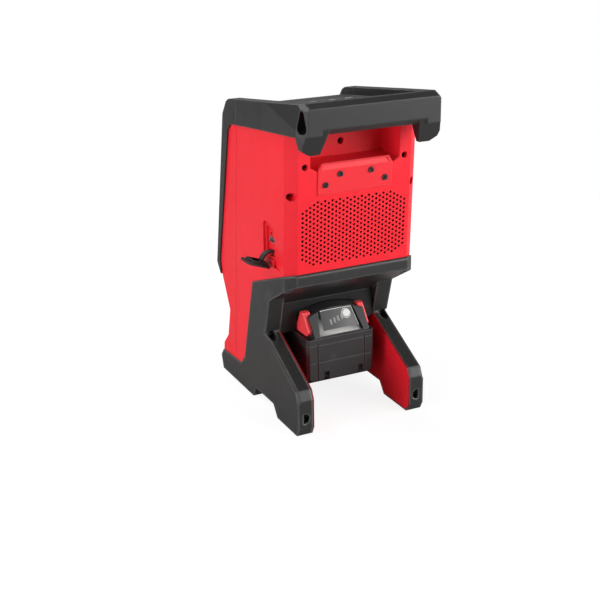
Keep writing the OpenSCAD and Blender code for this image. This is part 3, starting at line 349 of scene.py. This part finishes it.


# plain look; its darkest colour and that colour's reach give the painted shade in deep cavities
plainLook = {
    "specular": 0.5, "edgeRadius": 0.0009, "grain": 1500.0, "bump": 0.18, "depth": 0.0002, "roughness": 0.45,
    "spread": 0.14, "scuffs": 0.10, "dust": 0.05, "dustColour": (0.45, 0.40, 0.36), "dustRoughness": 0.4,
    "wearAndHighlight": 0.3, "wornPolish": 0.12, "paintedCavityShade": (0.006, 0.005, 0.005), "cavityShadeReach": 0.006,
}
redLook = {
    **plainLook, "colour": (0.88, 0.016, 0.030), "drift": (0.83, 0.013, 0.026), "wornAndHighlit": (0.93, 0.10, 0.11),
    "edgeRadius": 0.0012, "roughness": 0.44, "bump": 0.10, "wearAndHighlight": 0.25, "scuffs": 0.08, "dust": 0.02,
    "specular": 0.22,
}
linerLook = {
    **redLook, "colour": (0.76, 0.013, 0.026), "drift": (0.71, 0.011, 0.023), "wearAndHighlight": 0.08,
    # rim colour: painted shade on the liners' rims
    "rim": (0.20, 0.006, 0.010),
}
plateLook = {
    **redLook, "colour": (0.84, 0.028, 0.041), "drift": (0.80, 0.024, 0.036), "roughness": 0.38,
}
fieldLook = {**redLook, "edgeRadius": 0.0006, "holeWall": (0.05, 0.004, 0.006)}
jointLook = {**redLook, "edgeRadius": 0.00003, "wearAndHighlight": 0.0}
# latches: glossier, and a lighter red that paints in the sheen of their highlights
latchSheenLook = {
    **redLook, "colour": (0.97, 0.070, 0.082), "drift": (0.95, 0.060, 0.072), "edgeRadius": 0.0018,
    "roughness": 0.30, "bump": 0.04, "specular": 0.5,
}
blackLook = {
    **plainLook, "colour": (0.018, 0.018, 0.0177), "drift": (0.0155, 0.0155, 0.0155),
    "wornAndHighlit": (0.10, 0.10, 0.095), "edgeRadius": 0.0020, "roughness": 0.42, "bump": 0.30, "grain": 1100.0,
    "wearAndHighlight": 0.60, "scuffs": 0.18, "dust": 0.04, "specular": 0.40,
}
# the base's strong edge lightening paints the highlight of the lit bevels along the legs' outer top edges
baseLook = {**blackLook, "edgeRadius": 0.0036, "wearAndHighlight": 1.3, "wornAndHighlit": (0.12, 0.12, 0.115)}
bayLook = {
    **blackLook, "colour": (0.009, 0.009, 0.009), "drift": (0.008, 0.008, 0.008), "wornAndHighlit": (0.05, 0.05, 0.05),
    "roughness": 0.5, "specular": 0.25,
}
# the pack's lighter edges and seams are partly wear and partly a painted highlight where they catch light
packLook = {
    **plainLook, "colour": (0.016, 0.015, 0.016), "drift": (0.020, 0.019, 0.020), "wornAndHighlit": (0.13, 0.13, 0.13),
    "edgeRadius": 0.0010, "roughness": 0.38, "bump": 0.14, "wearAndHighlight": 0.65, "scuffs": 0.15,
}
innerLook = {**packLook, "roughness": 0.55}
receiverLook = {
    **packLook, "colour": (0.012, 0.012, 0.013), "roughness": 0.5, "edgeRadius": 0.0004,
    "blade": (0.55, 0.42, 0.18), "bladeEnd": (0.0109, 0.0111), "bladeTop": (0.1144, 0.1146), "bladeSpan": 0.020,
}
panelLook = {
    **plainLook, "colour": (0.050, 0.050, 0.050), "drift": (0.044, 0.044, 0.045), "wornAndHighlit": (0.12, 0.12, 0.12),
    "edgeRadius": 0.0005, "roughness": 0.58, "grain": 1900.0, "dust": 0.08,
}
keyLook = {
    **panelLook, "colour": (0.060, 0.060, 0.062), "drift": (0.055, 0.055, 0.056), "edgeRadius": 0.0007,
    "wearAndHighlight": 0.2,
}
rubberLook = {
    **plainLook, "colour": (0.020, 0.020, 0.020), "drift": (0.026, 0.026, 0.026), "wornAndHighlit": (0.08, 0.08, 0.08),
    "edgeRadius": 0.0008, "roughness": 0.62, "grain": 2200.0, "bump": 0.2, "wearAndHighlight": 0.5, "specular": 0.4,
}
skinLook = {**rubberLook, "roughness": 0.5}
whiteKeyLook = {
    **plainLook, "colour": (0.78, 0.77, 0.75), "drift": (0.72, 0.71, 0.69), "wornAndHighlit": (0.82, 0.81, 0.80),
    "edgeRadius": 0.0006, "roughness": 0.35, "bump": 0.05,
}
lensLook = {
    **plainLook, "colour": (0.30, 0.30, 0.29), "drift": (0.25, 0.25, 0.25), "wornAndHighlit": (0.5, 0.5, 0.5),
    "roughness": 0.22, "bump": 0.05, "edgeRadius": 0.0002,
}
darkFilmLook = {
    **plainLook, "colour": (0.085, 0.086, 0.085), "drift": (0.10, 0.10, 0.10), "wornAndHighlit": (0.2, 0.2, 0.2),
    "roughness": 0.30, "bump": 0.04, "edgeRadius": 0.0002, "scuffs": 0.25,
}
markLook = {
    **plainLook, "colour": (0.92, 0.92, 0.90), "drift": (0.84, 0.84, 0.82), "wornAndHighlit": (0.6, 0.6, 0.6),
    "roughness": 0.5, "bump": 0.05, "edgeRadius": 0.0001, "scuffs": 0.2,
}
wallLimit = 0.5  # a face that looks less than this along an axis is a wall round it


def wallMask(tree, axis):
    along = mathNode(tree, "ABSOLUTE", vectorNode(tree, "DOT_PRODUCT", trueNormal(tree), axis))
    return mathNode(tree, "LESS_THAN", along, wallLimit)


# shade on the walls of the field's holes
def holePaint(tree, colour, look):
    return mixColour(tree, wallMask(tree, rearNormal), colour, look["holeWall"])


# painted shade: the liners' rims, the faces that don't look along X, darkened where the legs' edges shade them
def rimShadePaint(tree, colour, look):
    return mixColour(tree, wallMask(tree, sideways), colour, look["rim"])


# bare metal on the receiver's contact blades
def bladePaint(tree, colour, look):
    place = objectPlace(tree)
    inner = rangeNode(tree, partOf(tree, place, "Y"), *look["bladeEnd"], 1.0, 0.0)
    lower = rangeNode(tree, partOf(tree, place, "Z"), *look["bladeTop"], 1.0, 0.0)
    aside = mathNode(tree, "ABSOLUTE", partOf(tree, place, "X"))
    middle = mathNode(tree, "LESS_THAN", aside, look["bladeSpan"])
    blades = mathNode(tree, "MULTIPLY", mathNode(tree, "MULTIPLY", inner, lower), middle)
    return mixColour(tree, blades, colour, look["blade"])


redShell = mouldedMaterial("redShell", redLook)
redLiner = mouldedMaterial("redLiner", linerLook, rimShadePaint)
redPlate = mouldedMaterial("redPlate", plateLook)
redField = mouldedMaterial("redField", fieldLook, holePaint)
redJoint = mouldedMaterial("redJoint", jointLook)
redLatchPaintedSheen = mouldedMaterial("redLatchPaintedSheen", latchSheenLook)
blackShell = mouldedMaterial("blackShell", blackLook)
baseShell = mouldedMaterial("baseShell", baseLook)
bayShell = mouldedMaterial("bayShell", bayLook)
packShell = mouldedMaterial("packShell", packLook)
innerPlastic = mouldedMaterial("innerPlastic", innerLook)
receiverPlastic = mouldedMaterial("receiverPlastic", receiverLook, bladePaint)
panelRubber = mouldedMaterial("panelRubber", panelLook)
keyRubber = mouldedMaterial("keyRubber", keyLook)
softRubber = mouldedMaterial("softRubber", rubberLook)
radiatorSkin = mouldedMaterial("radiatorSkin", skinLook)
gaugeWhite = mouldedMaterial("gaugeWhite", whiteKeyLook)
gaugeLens = mouldedMaterial("gaugeLens", lensLook)
fieldFilm = mouldedMaterial("fieldFilm", darkFilmLook)
markWhite = mouldedMaterial("markWhite", markLook)


# turned, pressed and coated metals
def metalMaterial(name, look):
    material, tree, shader = newMaterial(name, look["colour"], look["metallic"], look["specular"])
    edge, grain = useEdgeAndGrain(tree, look)
    marks = useGroup(tree, scuffs, Amount=look["scuffs"]).outputs["Mask"]
    # lighter edges: wear, and on the screws a painted glint
    wornAndHighlit = mathNode(tree, "MULTIPLY", edge.outputs["Edge"], look["wearAndHighlight"])
    colour = mixColour(tree, grain.outputs["Tone"], look["colour"], look["drift"])
    for mask in (wornAndHighlit, marks):
        colour = mixColour(tree, mask, colour, look["wornAndHighlit"])
    finishSurface(tree, shader, look, colour, grain.outputs["Roughness"], grain.outputs["Height"], edge)
    return material


metalLook = {
    "metallic": 1.0, "specular": 0.5, "edgeRadius": 0.0003, "grain": 2600.0, "bump": 0.12, "depth": 0.0001,
    "roughness": 0.34, "spread": 0.2, "scuffs": 0.3, "wearAndHighlight": 0.5,
}
# screw heads: black, with a painted glint on their edges and socket rims
screwLook = {
    **metalLook, "metallic": 0.0, "specular": 0.2, "colour": (0.006, 0.006, 0.006),
    "drift": (0.009, 0.009, 0.009), "wornAndHighlit": (0.42, 0.41, 0.40), "roughness": 0.5, "edgeRadius": 0.0005,
    "wearAndHighlight": 0.6,
}
grilleLook = {
    **metalLook, "metallic": 0.0, "colour": (0.018, 0.018, 0.019), "drift": (0.022, 0.022, 0.022),
    "wornAndHighlit": (0.10, 0.10, 0.10), "roughness": 0.5, "grain": 1800.0, "bump": 0.3, "scuffs": 0.1,
}
basketLook = {
    **metalLook, "metallic": 0.6, "colour": (0.05, 0.05, 0.052), "drift": (0.06, 0.06, 0.06),
    "wornAndHighlit": (0.2, 0.2, 0.2), "roughness": 0.45,
}
tinLook = {
    **metalLook, "colour": (0.62, 0.62, 0.64), "drift": (0.55, 0.55, 0.56), "wornAndHighlit": (0.75, 0.75, 0.76),
}
screwSteel = metalMaterial("screwSteel", screwLook)
grilleSteel = metalMaterial("grilleSteel", grilleLook)
basketSteel = metalMaterial("basketSteel", basketLook)
socketTin = metalMaterial("socketTin", tinLook)


# pressed cone with concentric rolls
coneLook = {
    "colour": (0.022, 0.022, 0.024), "drift": (0.030, 0.030, 0.031), "specular": 0.4, "edgeRadius": 0.0006,
    "grain": 900.0, "roughness": 0.5, "spread": 0.2, "rolls": 1500.0, "rollHeight": 0.8, "bump": 0.25,
    "depth": 0.0004,
}


def coneMaterial(name, look, centre, axis):
    material, tree, shader = newMaterial(name, look["colour"], specular=look["specular"])
    edge, grain = useEdgeAndGrain(tree, look)
    offset = vectorNode(tree, "SUBTRACT", objectPlace(tree), centre)
    reach = vectorNode(tree, "LENGTH", vectorNode(tree, "CROSS_PRODUCT", offset, axis))
    rolls = mathNode(tree, "SINE", mathNode(tree, "MULTIPLY", reach, look["rolls"]))
    pressed = mathNode(tree, "MULTIPLY", rolls, look["rollHeight"])
    height = mathNode(tree, "ADD", grain.outputs["Height"], pressed)
    colour = mixColour(tree, grain.outputs["Tone"], look["colour"], look["drift"])
    finishSurface(tree, shader, look, colour, grain.outputs["Roughness"], height, edge)
    return material


wooferLow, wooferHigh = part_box("woofer_cone")
wooferCone = coneMaterial("wooferCone", coneLook, (wooferLow + wooferHigh) / 2, frontAxis)


# solder mask with copper tracks showing through, and dark chips above it
boardLook = {
    "colour": (0.012, 0.10, 0.035), "track": (0.03, 0.20, 0.07), "trackScale": 240.0, "trackWidth": 0.05,
    "chip": (0.02, 0.02, 0.022), "chipsFrom": (0.1831, 0.1833), "edgeRadius": 0.0002, "grain": 2400.0,
    "roughness": 0.32, "spread": 0.1, "bump": 0.2, "depth": 0.0001,
}


def boardMaterial(look):
    material, tree, shader = newMaterial("solderMask", look["colour"])
    edge, grain = useEdgeAndGrain(tree, look)
    place = objectPlace(tree)
    tracks = addNode(tree, "ShaderNodeTexBrick", Scale=look["trackScale"])
    tracks.inputs["Mortar Size"].default_value = look["trackWidth"]
    tree.links.new(place, tracks.inputs["Vector"])
    colour = mixColour(tree, tracks.outputs["Fac"], look["colour"], look["track"])
    chips = rangeNode(tree, partOf(tree, place, "Z"), *look["chipsFrom"])
    colour = mixColour(tree, chips, colour, look["chip"])
    finishSurface(tree, shader, look, colour, grain.outputs["Roughness"], tracks.outputs["Fac"], edge)
    return material


# shrink wrap of the cells, with a band near one end
wrapLook = {
    "colour": (0.03, 0.16, 0.22), "band": (0.35, 0.35, 0.36), "halfLength": 0.0325, "bandFrom": 0.97,
    "edgeRadius": 0.0005, "grain": 1600.0, "roughness": 0.28, "spread": 0.1, "bump": 0.1, "depth": 0.0001,
}


def wrapMaterial(look):
    material, tree, shader = newMaterial("cellWrap", look["colour"])
    edge, grain = useEdgeAndGrain(tree, look)
    along = rangeNode(tree, partOf(tree, objectPlace(tree), "X"), -look["halfLength"], look["halfLength"])
    end = mathNode(tree, "GREATER_THAN", along, look["bandFrom"])
    band = mathNode(tree, "MULTIPLY", end, grain.outputs["Tone"])
    colour = mixColour(tree, band, look["colour"], look["band"])
    finishSurface(tree, shader, look, colour, grain.outputs["Roughness"], grain.outputs["Height"], edge)
    return material


boardGreen, cellWrap = boardMaterial(boardLook), wrapMaterial(wrapLook)


# label film: brushed silver that fades to dark, on a barrel about the label's slope
labelUp = Vector((0, -18.5, 25.5)).normalized()  # run and rise in millimetres
labelPlate = {
    "middle": Vector((0, 0.10975, 0.10125)), "up": labelUp, "normal": labelUp.cross(sideways),
    "barrel": 0.100, "proud": 0.0002, "key": (0.011, 0.006),
    "field": ((-0.0200, 0.0235), (-0.0185, 0.0200), (-0.0090, 0.0135)),  # foot, head, heights
}
labelLook = {
    "silver": (0.56, 0.55, 0.53), "shade": 0.8, "dark": (0.012, 0.012, 0.013), "fade": (0.001, 0.016),
    "fadeAside": 0.35, "metallic": 0.35, "edgeRadius": 0.0003, "grain": 3000.0, "roughness": 0.30,
    "spread": 0.12, "brushing": (60, 3000, 3000), "brushDetail": 3.0, "bump": 0.06, "depth": 0.0001,
}


def labelMaterial(look, plate):
    material, tree, shader = newMaterial("labelFilm", look["silver"], metallic=look["metallic"])
    edge, grain = useEdgeAndGrain(tree, look)
    place = objectPlace(tree)
    brushed = streakNode(tree, place, look["brushDetail"], Scale=look["brushing"])
    shaded = tuple(look["shade"] * c for c in look["silver"])
    colour = mixColour(tree, brushed, look["silver"], shaded)
    offset = vectorNode(tree, "SUBTRACT", place, plate["middle"])
    fade = vectorNode(tree, "DOT_PRODUCT", offset, sideways * look["fadeAside"] - plate["up"])
    colour = mixColour(tree, rangeNode(tree, fade, *look["fade"]), look["dark"], colour)
    finishSurface(tree, shader, look, colour, grain.outputs["Roughness"], brushed, edge)
    return material


labelFilm = labelMaterial(labelLook, labelPlate)
print("materials:", len(bpy.data.materials))


finishes = {
    redField: ["rear_grille"],
    redShell: ["front_housing", "rear_housing", "audio_jack"],
    redPlate: ["access_plate"],
    redLiner: ["liner_left", "liner_right"],
    redLatchPaintedSheen: ["latch_left", "latch_right"],
    blackShell: ["front_frame", "top_cage"],
    baseShell: ["base_housing"],
    packShell: ["battery_lower", "battery_upper"],
    receiverPlastic: ["battery_receiver"],
    innerPlastic: ["baffle", "tweeter", "radiator_frame"],
    panelRubber: ["control_panel"],
    keyRubber: ["button_power", "button_pair", "button_minus", "button_play", "button_plus"],
    screwSteel: ["plate_screws", "shell_screws", "base_screws"],
    grilleSteel: ["front_grille"],
    basketSteel: ["woofer_basket"],
    wooferCone: ["woofer_cone"],
    radiatorSkin: ["radiator_membrane"],
    softRubber: ["port_cover", "cover_strap"],
    socketTin: ["usb_socket"],
    boardGreen: ["main_board"],
    cellWrap: ["battery_cells"],
    labelFilm: ["battery_label"],
    gaugeLens: ["gauge_bars"],
    gaugeWhite: ["gauge_button"],
}
for material, names in finishes.items():
    for name in names:
        nodes[name].data.materials.clear()
        nodes[name].data.materials.append(material)
print("finishes:", len(finishes))


def newPiece(name, mesh, material):
    data = bpy.data.meshes.new(name)
    mesh.to_mesh(data)
    mesh.free()
    data.materials.append(material)
    piece = bpy.data.objects.new(name, data)
    scene.collection.objects.link(piece)
    return piece


def thicken(mesh, faces, lift):
    grown = bmesh.ops.extrude_face_region(mesh, geom=faces)
    raised = [v for v in grown["geom"] if isinstance(v, bmesh.types.BMVert)]
    bmesh.ops.translate(mesh, vec=lift, verts=raised)


def facePlace(centre, up, normal):
    return Matrix.Translation(centre) @ Matrix((up.cross(normal), up, normal)).transposed().to_4x4()


# flat marks: outlines in a plane, with a little thickness
def flatMark(name, outlines, place, thickness, material, body):
    mesh = bmesh.new()
    lift = place.to_3x3() @ Vector((0, 0, thickness))
    for outline in outlines:
        bottom = [mesh.verts.new(place @ Vector((x, y, 0))) for x, y in outline]
        thicken(mesh, [mesh.faces.new(bottom)], lift)
    bmesh.ops.recalc_face_normals(mesh, faces=mesh.faces)
    piece = newPiece(name, mesh, material)
    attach(piece, body)


def arcBand(inner, outer, start, end, steps):
    angles = [math.radians(start + (end - start) * i / steps) for i in range(steps + 1)]
    return ([(outer * math.cos(a), outer * math.sin(a)) for a in angles]
            + [(inner * math.cos(a), inner * math.sin(a)) for a in reversed(angles)])


def barMark(x0, y0, x1, y1):
    return [(x0, y0), (x1, y0), (x1, y1), (x0, y1)]


# plain symbols on the keys, read from the front, with their parts in shares of the size
keyMarks = {
    "size": 0.0042, "line": 0.0016, "thinLine": 0.0010, "lift": 0.00002, "thickness": 0.00008,
    "ring": 0.8, "ringTurn": (130, 410), "ringSteps": 28, "stem": (0.2, 1.1),
    "waves": (0.45, 0.85, 1.25), "waveTurn": (45, 135), "waveSteps": 14, "waveDrop": 0.6,
    "arm": 0.9, "arrow": (-0.95, 0.15), "pause": (0.45, 0.90), "playHeight": 0.7,
}


def keySymbols(look):
    s, w, thin = look["size"], look["line"] / 2, look["thinLine"] / 2
    ring, drop, arm, tall = (s * look[k] for k in ("ring", "waveDrop", "arm", "playHeight"))
    foot, head = (s * y for y in look["stem"])
    tail, tip = (s * x for x in look["arrow"])
    power = [arcBand(ring - w, ring + w, *look["ringTurn"], look["ringSteps"]), barMark(-w, foot, w, head)]
    waves = [arcBand(s * r - thin, s * r + thin, *look["waveTurn"], look["waveSteps"]) for r in look["waves"]]
    pair = [[(x, y - drop) for x, y in outline] for outline in waves]
    minus = [barMark(-arm, -w, arm, w)]
    plus = [*minus, barMark(-w, w, w, arm), barMark(-w, -arm, w, -w)]
    play = [[(tail, -tall), (tip, 0), (tail, tall)],
            *(barMark(s * x - thin, -tall, s * x + thin, tall) for x in look["pause"])]
    return {"power": power, "pair": pair, "minus": minus, "play": play, "plus": plus}


def topPlace(node, normal, up, lift):
    points = [v.co for v in nodes[node].data.vertices]
    top = max(p.dot(normal) for p in points)
    rim = [p for p in points if p.dot(normal) > top - sameFace]
    return facePlace(sum(rim, Vector()) / len(rim) + normal * lift, up, normal)


for name, outlines in keySymbols(keyMarks).items():
    place = topPlace("button_" + name, deckNormal, deckUp, keyMarks["lift"])
    flatMark("mark_" + name, outlines, place, keyMarks["thickness"], markWhite, "button_" + name)
print("key marks done")


# dark field, pale rules and a ring round the key, laid on the barrel of the battery's label
labelMarks = {
    "lift": 0.00003, "rule": 0.0005, "thickness": 0.00010, "steps": 24, "edgeSteps": 4,
    "ring": (0.0050, 0.0056), "ringSteps": 40,
}
weldDistance = 1e-6


# a plate without a barrel is flat
def barrelHeight(plate, x):
    if not plate["barrel"]:
        return 0.0
    return math.sqrt((plate["barrel"] + plate["proud"]) ** 2 - x * x) - plate["barrel"]


def layBands(name, plate, bands, lift, thickness, material, body):
    place = facePlace(plate["middle"], plate["up"], plate["normal"])
    mesh = bmesh.new()
    for lines in bands:
        a, b = ([mesh.verts.new(place @ Vector((x, y, barrelHeight(plate, x) + lift))) for x, y in line]
                for line in lines)
        for i in range(len(a) - 1):
            mesh.faces.new((a[i], a[i + 1], b[i + 1], b[i]))
    bmesh.ops.remove_doubles(mesh, verts=mesh.verts, dist=weldDistance)
    thicken(mesh, mesh.faces[:], plate["normal"] * thickness)
    bmesh.ops.recalc_face_normals(mesh, faces=mesh.faces)
    piece = newPiece(name, mesh, material)
    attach(piece, body)


def evenLine(start, end, steps):
    return [tuple(a + (b - a) * i / steps for a, b in zip(start, end)) for i in range(steps + 1)]


# the dark field leaves a round opening for the gauge's key
def fieldBands(plate, hole, steps):
    (lowLeft, lowRight), (highLeft, highRight), (low, high) = plate["field"]
    x, y = plate["key"]
    share = (y - low) / (high - low)
    left = ((lowLeft, low), (lowLeft + (highLeft - lowLeft) * share, y), (highLeft, high))
    right = ((lowRight, low), (lowRight + (highRight - lowRight) * share, y), (highRight, high))
    leftLines = [evenLine(end, (x - hole, end[1]), steps) for end in left]
    rightLines = [evenLine((x + hole, end[1]), end, steps) for end in right]
    turns = [math.pi * i / steps for i in range(steps + 1)]
    under = [(x - hole * math.cos(a), y - hole * math.sin(a)) for a in turns]
    over = [(x - hole * math.cos(a), y + hole * math.sin(a)) for a in turns]
    return [(leftLines[0], leftLines[1]), (leftLines[1], leftLines[2]),
            ([(px, low) for px, py in under], under), (over, [(px, high) for px, py in over]),
            (rightLines[0], rightLines[1]), (rightLines[1], rightLines[2])]


def dressLabel(plate, look):
    (lowLeft, lowRight), (highLeft, highRight), (low, high) = plate["field"]
    steps, rule, lift, thickness = (look[k] for k in ("steps", "rule", "lift", "thickness"))
    field = fieldBands(plate, look["ring"][0], steps)
    top = [evenLine((highLeft, y), (highRight, y), steps) for y in (high - rule, high)]
    edge = [evenLine((lowRight - inset, low), (highRight - inset, high), look["edgeSteps"])
            for inset in (rule, 0)]
    x, y = plate["key"]
    turns = [2 * math.pi * i / look["ringSteps"] for i in range(look["ringSteps"] + 1)]
    ring = [[(x + radius * math.cos(a), y + radius * math.sin(a)) for a in turns] for radius in look["ring"]]
    layBands("labelField", plate, field, lift, thickness, fieldFilm, "battery")
    layBands("labelRules", plate, [top, edge, ring], lift + thickness, thickness, markWhite, "battery")


dressLabel(labelPlate, labelMarks)
print("label done")


# film over the joint round the perforated field, because the real shell shows no joint there
fieldJoint = {"half": 0.0010, "lift": 0.00002, "thickness": 0.00004}


def grownOutline(corners, amount):
    line = []
    for index, corner in enumerate(corners):
        before, after = corners[index - 1], corners[(index + 1) % len(corners)]
        sides = ((before, corner), (corner, after))
        a, b = (Vector((end.y - start.y, start.x - end.x)).normalized() for start, end in sides)
        line.append(corner + (a + b) * amount / (1 + a.dot(b)))
    return [*line, line[0]]


def coverFieldJoint(look):
    points = [v.co for v in nodes["rear_grille"].data.vertices]
    top = max(p.dot(rearNormal) for p in points)
    side = rearUp.cross(rearNormal)
    face = [Vector((p.dot(side), p.dot(rearUp))) for p in points if p.dot(rearNormal) > top - sameFace]
    hull = [face[i] for i in convex_hull_2d(face)]
    corners = [corner for i, corner in enumerate(hull) if (corner - hull[i - 1]).length > sameFace]
    plate = {"middle": rearNormal * top, "up": rearUp, "normal": rearNormal, "barrel": 0.0}
    band = [grownOutline(corners, amount) for amount in (-look["half"], look["half"])]
    layBands("fieldJoint", plate, [band], look["lift"], look["thickness"], redJoint, "cabinet")


coverFieldJoint(fieldJoint)
print("field joint done")


# strap of the port cover: a rounded band, bent down in a quarter turn to the cover
strapShape = {
    "width": 0.008, "thickness": 0.0026, "bend": (0.0735, 0.1765), "reach": 0.012, "inset": 0.0002,
    "leadSteps": 4, "steps": 28, "sides": 16, "squareness": 0.35,
}


def strapPath(look, low, midY):
    radius = look["reach"] - look["thickness"] / 2
    bend = Vector((look["bend"][0], midY, look["bend"][1]))
    lead, steps, start = look["leadSteps"], look["steps"], low.x + look["inset"]
    path = [Vector((start + (bend.x - low.x) * i / lead, midY, bend.z + radius)) for i in range(lead)]
    for i in range(steps + 1):
        a = math.radians(90 * (1 - i / steps))
        path.append(bend + Vector((math.cos(a) * radius, 0, math.sin(a) * radius)))
    path[-1].z = low.z
    return path


def strapRing(look, mesh, point, along):
    out = Vector((0, 1, 0)).cross(along).normalized()
    ring = []
    for k in range(look["sides"]):
        a = 2 * math.pi * k / look["sides"]
        across, through = (
            math.copysign(abs(part) ** look["squareness"], part) * look[size] / 2
            for part, size in ((math.cos(a), "width"), (math.sin(a), "thickness")))
        ring.append(mesh.verts.new(point + Vector((0, across, 0)) + out * through))
    return ring


def makeStrap(look):
    low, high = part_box("cover_strap")
    midY = (low.y + high.y) / 2
    path = strapPath(look, low, midY)
    mesh = bmesh.new()
    rings = []
    for index, point in enumerate(path):
        ahead, behind = path[min(index + 1, len(path) - 1)], path[max(index - 1, 0)]
        rings.append(strapRing(look, mesh, point, (ahead - behind).normalized()))
    for a, b in zip(rings, rings[1:]):
        for k in range(look["sides"]):
            following = (k + 1) % look["sides"]
            mesh.faces.new((a[k], a[following], b[following], b[k]))
    mesh.faces.new(rings[0])
    mesh.faces.new(list(reversed(rings[-1])))
    bmesh.ops.recalc_face_normals(mesh, faces=mesh.faces)
    piece = newPiece("coverStrap", mesh, softRubber)
    piece.data.shade_smooth()
    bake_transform(piece)
    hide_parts("cover_strap")


makeStrap(strapShape)
print("strap done")


# thin plate round the head of the pack, which closes the bay's front above the pack
bayPlate = {
    "halfWidth": 0.0572, "low": 0.0862, "high": 0.1208, "rear": 0.0824, "thickness": 0.002,
    "arch": (0.014, 0.1008), "head": 0.0343, "latches": (0.038, 0.098), "shoulderRise": 0.003, "steps": 24,
}


def makeBayPlate(look):
    centre, radius = look["arch"]
    wide, shoulder = look["latches"]
    half, low, high, head = (look[k] for k in ("halfWidth", "low", "high", "head"))
    neck = shoulder + look["shoulderRise"]
    across = [head * (2 * i / look["steps"] - 1) for i in range(look["steps"] + 1)]
    arch = [(x, centre + math.sqrt(radius ** 2 - x * x)) for x in across]
    outline = [(half, low), (half, high), (-half, high), (-half, low), (-wide, low), (-wide, shoulder),
               (-head, neck), *arch, (head, neck), (wide, shoulder), (wide, low)]
    upright = Matrix(((1, 0, 0), (0, 0, 1), (0, 1, 0))).to_4x4()
    place = Matrix.Translation((0, look["rear"] - look["thickness"], 0)) @ upright
    flatMark("bayPlate", [outline], place, look["thickness"], bayShell, "cabinet")


makeBayPlate(bayPlate)
print("bay plate done")


# plain studio: white floor that keeps the shadow near the object, soft light from all sides
studio = {
    "floorSize": 40.0, "floorDrop": 0.0003, "floorColour": (0.6, 0.6, 0.6), "floorRoughness": 0.9,
    "floorSpecular": 0.1, "floorWhite": 0.62, "floorGlow": 1.38, "clear": (0.35, 0.95),
    "worldLight": 0.21, "ceilingLight": 0.04, "ceiling": (0.1, 0.9), "mirrored": 0.12,
}
lamps = {
    "keyLight": {"at": (1.9, 1.3, 1.1), "size": 1.4, "power": 8},
    "fillLight": {"at": (-1.5, 2.1, 0.9), "size": 1.6, "power": 53},
    "sideLight": {"at": (2.4, 0.4, 0.35), "size": 1.2, "power": 39},
    "farLight": {"at": (-2.3, 0.9, 0.6), "size": 1.4, "power": 30},
    "edgeLight": {"at": (0.95, -0.67, 1.93), "size": 0.6, "power": 13},
    "frontLight": {"at": (0.0, -1.9, 1.7), "size": 1.1, "power": 16},
}
lampAim = Vector((0, 0.05, 0.17))
white = (1, 1, 1, 1)


def makeFloor(look):
    mesh = bmesh.new()
    bmesh.ops.create_grid(mesh, x_segments=1, y_segments=1, size=look["floorSize"] / 2)
    material, tree, shader = newMaterial("studioFloor", look["floorColour"], specular=look["floorSpecular"])
    floor = newPiece("studioFloor", mesh, material)
    floor.location.z = -look["floorDrop"]
    shader.inputs["Base Color"].default_value = (*look["floorColour"], 1)
    shader.inputs["Roughness"].default_value = look["floorRoughness"]
    glow = addNode(tree, "ShaderNodeEmission", Color=white)
    reach = vectorNode(tree, "LENGTH", objectPlace(tree))
    share = rangeNode(tree, reach, *look["clear"], look["floorWhite"], 1.0)
    tree.links.new(rangeNode(tree, reach, *look["clear"], look["floorGlow"], 1.0), glow.inputs["Strength"])
    path = tree.nodes.new("ShaderNodeLightPath")
    blend = tree.nodes.new("ShaderNodeMixShader")
    tree.links.new(mathNode(tree, "MULTIPLY", path.outputs["Is Camera Ray"], share), blend.inputs[0])
    tree.links.new(shader.outputs[0], blend.inputs[1])
    tree.links.new(glow.outputs[0], blend.inputs[2])
    tree.links.new(blend.outputs[0], tree.nodes["Material Output"].inputs["Surface"])


# white behind the object, and a softer light on it, dimmer from above
def makeWorld(look):
    world = bpy.data.worlds.new("studioWorld")
    scene.world = world
    world.use_nodes = True
    tree = world.node_tree
    back = tree.nodes["Background"]
    back.inputs["Color"].default_value = white
    path = tree.nodes.new("ShaderNodeLightPath")
    direction = tree.nodes.new("ShaderNodeTexCoord").outputs["Generated"]
    sky = rangeNode(
        tree, partOf(tree, direction, "Z"), *look["ceiling"], look["worldLight"], look["ceilingLight"])
    shown = mathNode(tree, "MAXIMUM", path.outputs["Is Camera Ray"], path.outputs["Is Transmission Ray"])
    sheen = mathNode(tree, "MULTIPLY", path.outputs["Is Glossy Ray"], look["mirrored"])
    shown = mathNode(tree, "MAXIMUM", shown, sheen)
    tree.links.new(rangeNode(tree, shown, 0.0, 1.0, sky, 1.0), back.inputs["Strength"])


def makeLamp(name, look):
    lamp = bpy.data.lights.new(name, "AREA")
    lamp.shape = "SQUARE"
    lamp.size = look["size"]
    lamp.energy = look["power"]
    stand = bpy.data.objects.new(name, lamp)
    stand.location = look["at"]
    stand.rotation_euler = (lampAim - stand.location).to_track_quat("-Z", "Y").to_euler()
    scene.collection.objects.link(stand)


makeFloor(studio)
makeWorld(studio)
for name, look in lamps.items():
    makeLamp(name, look)
scene.view_settings.view_transform = "Standard"
print("studio done")
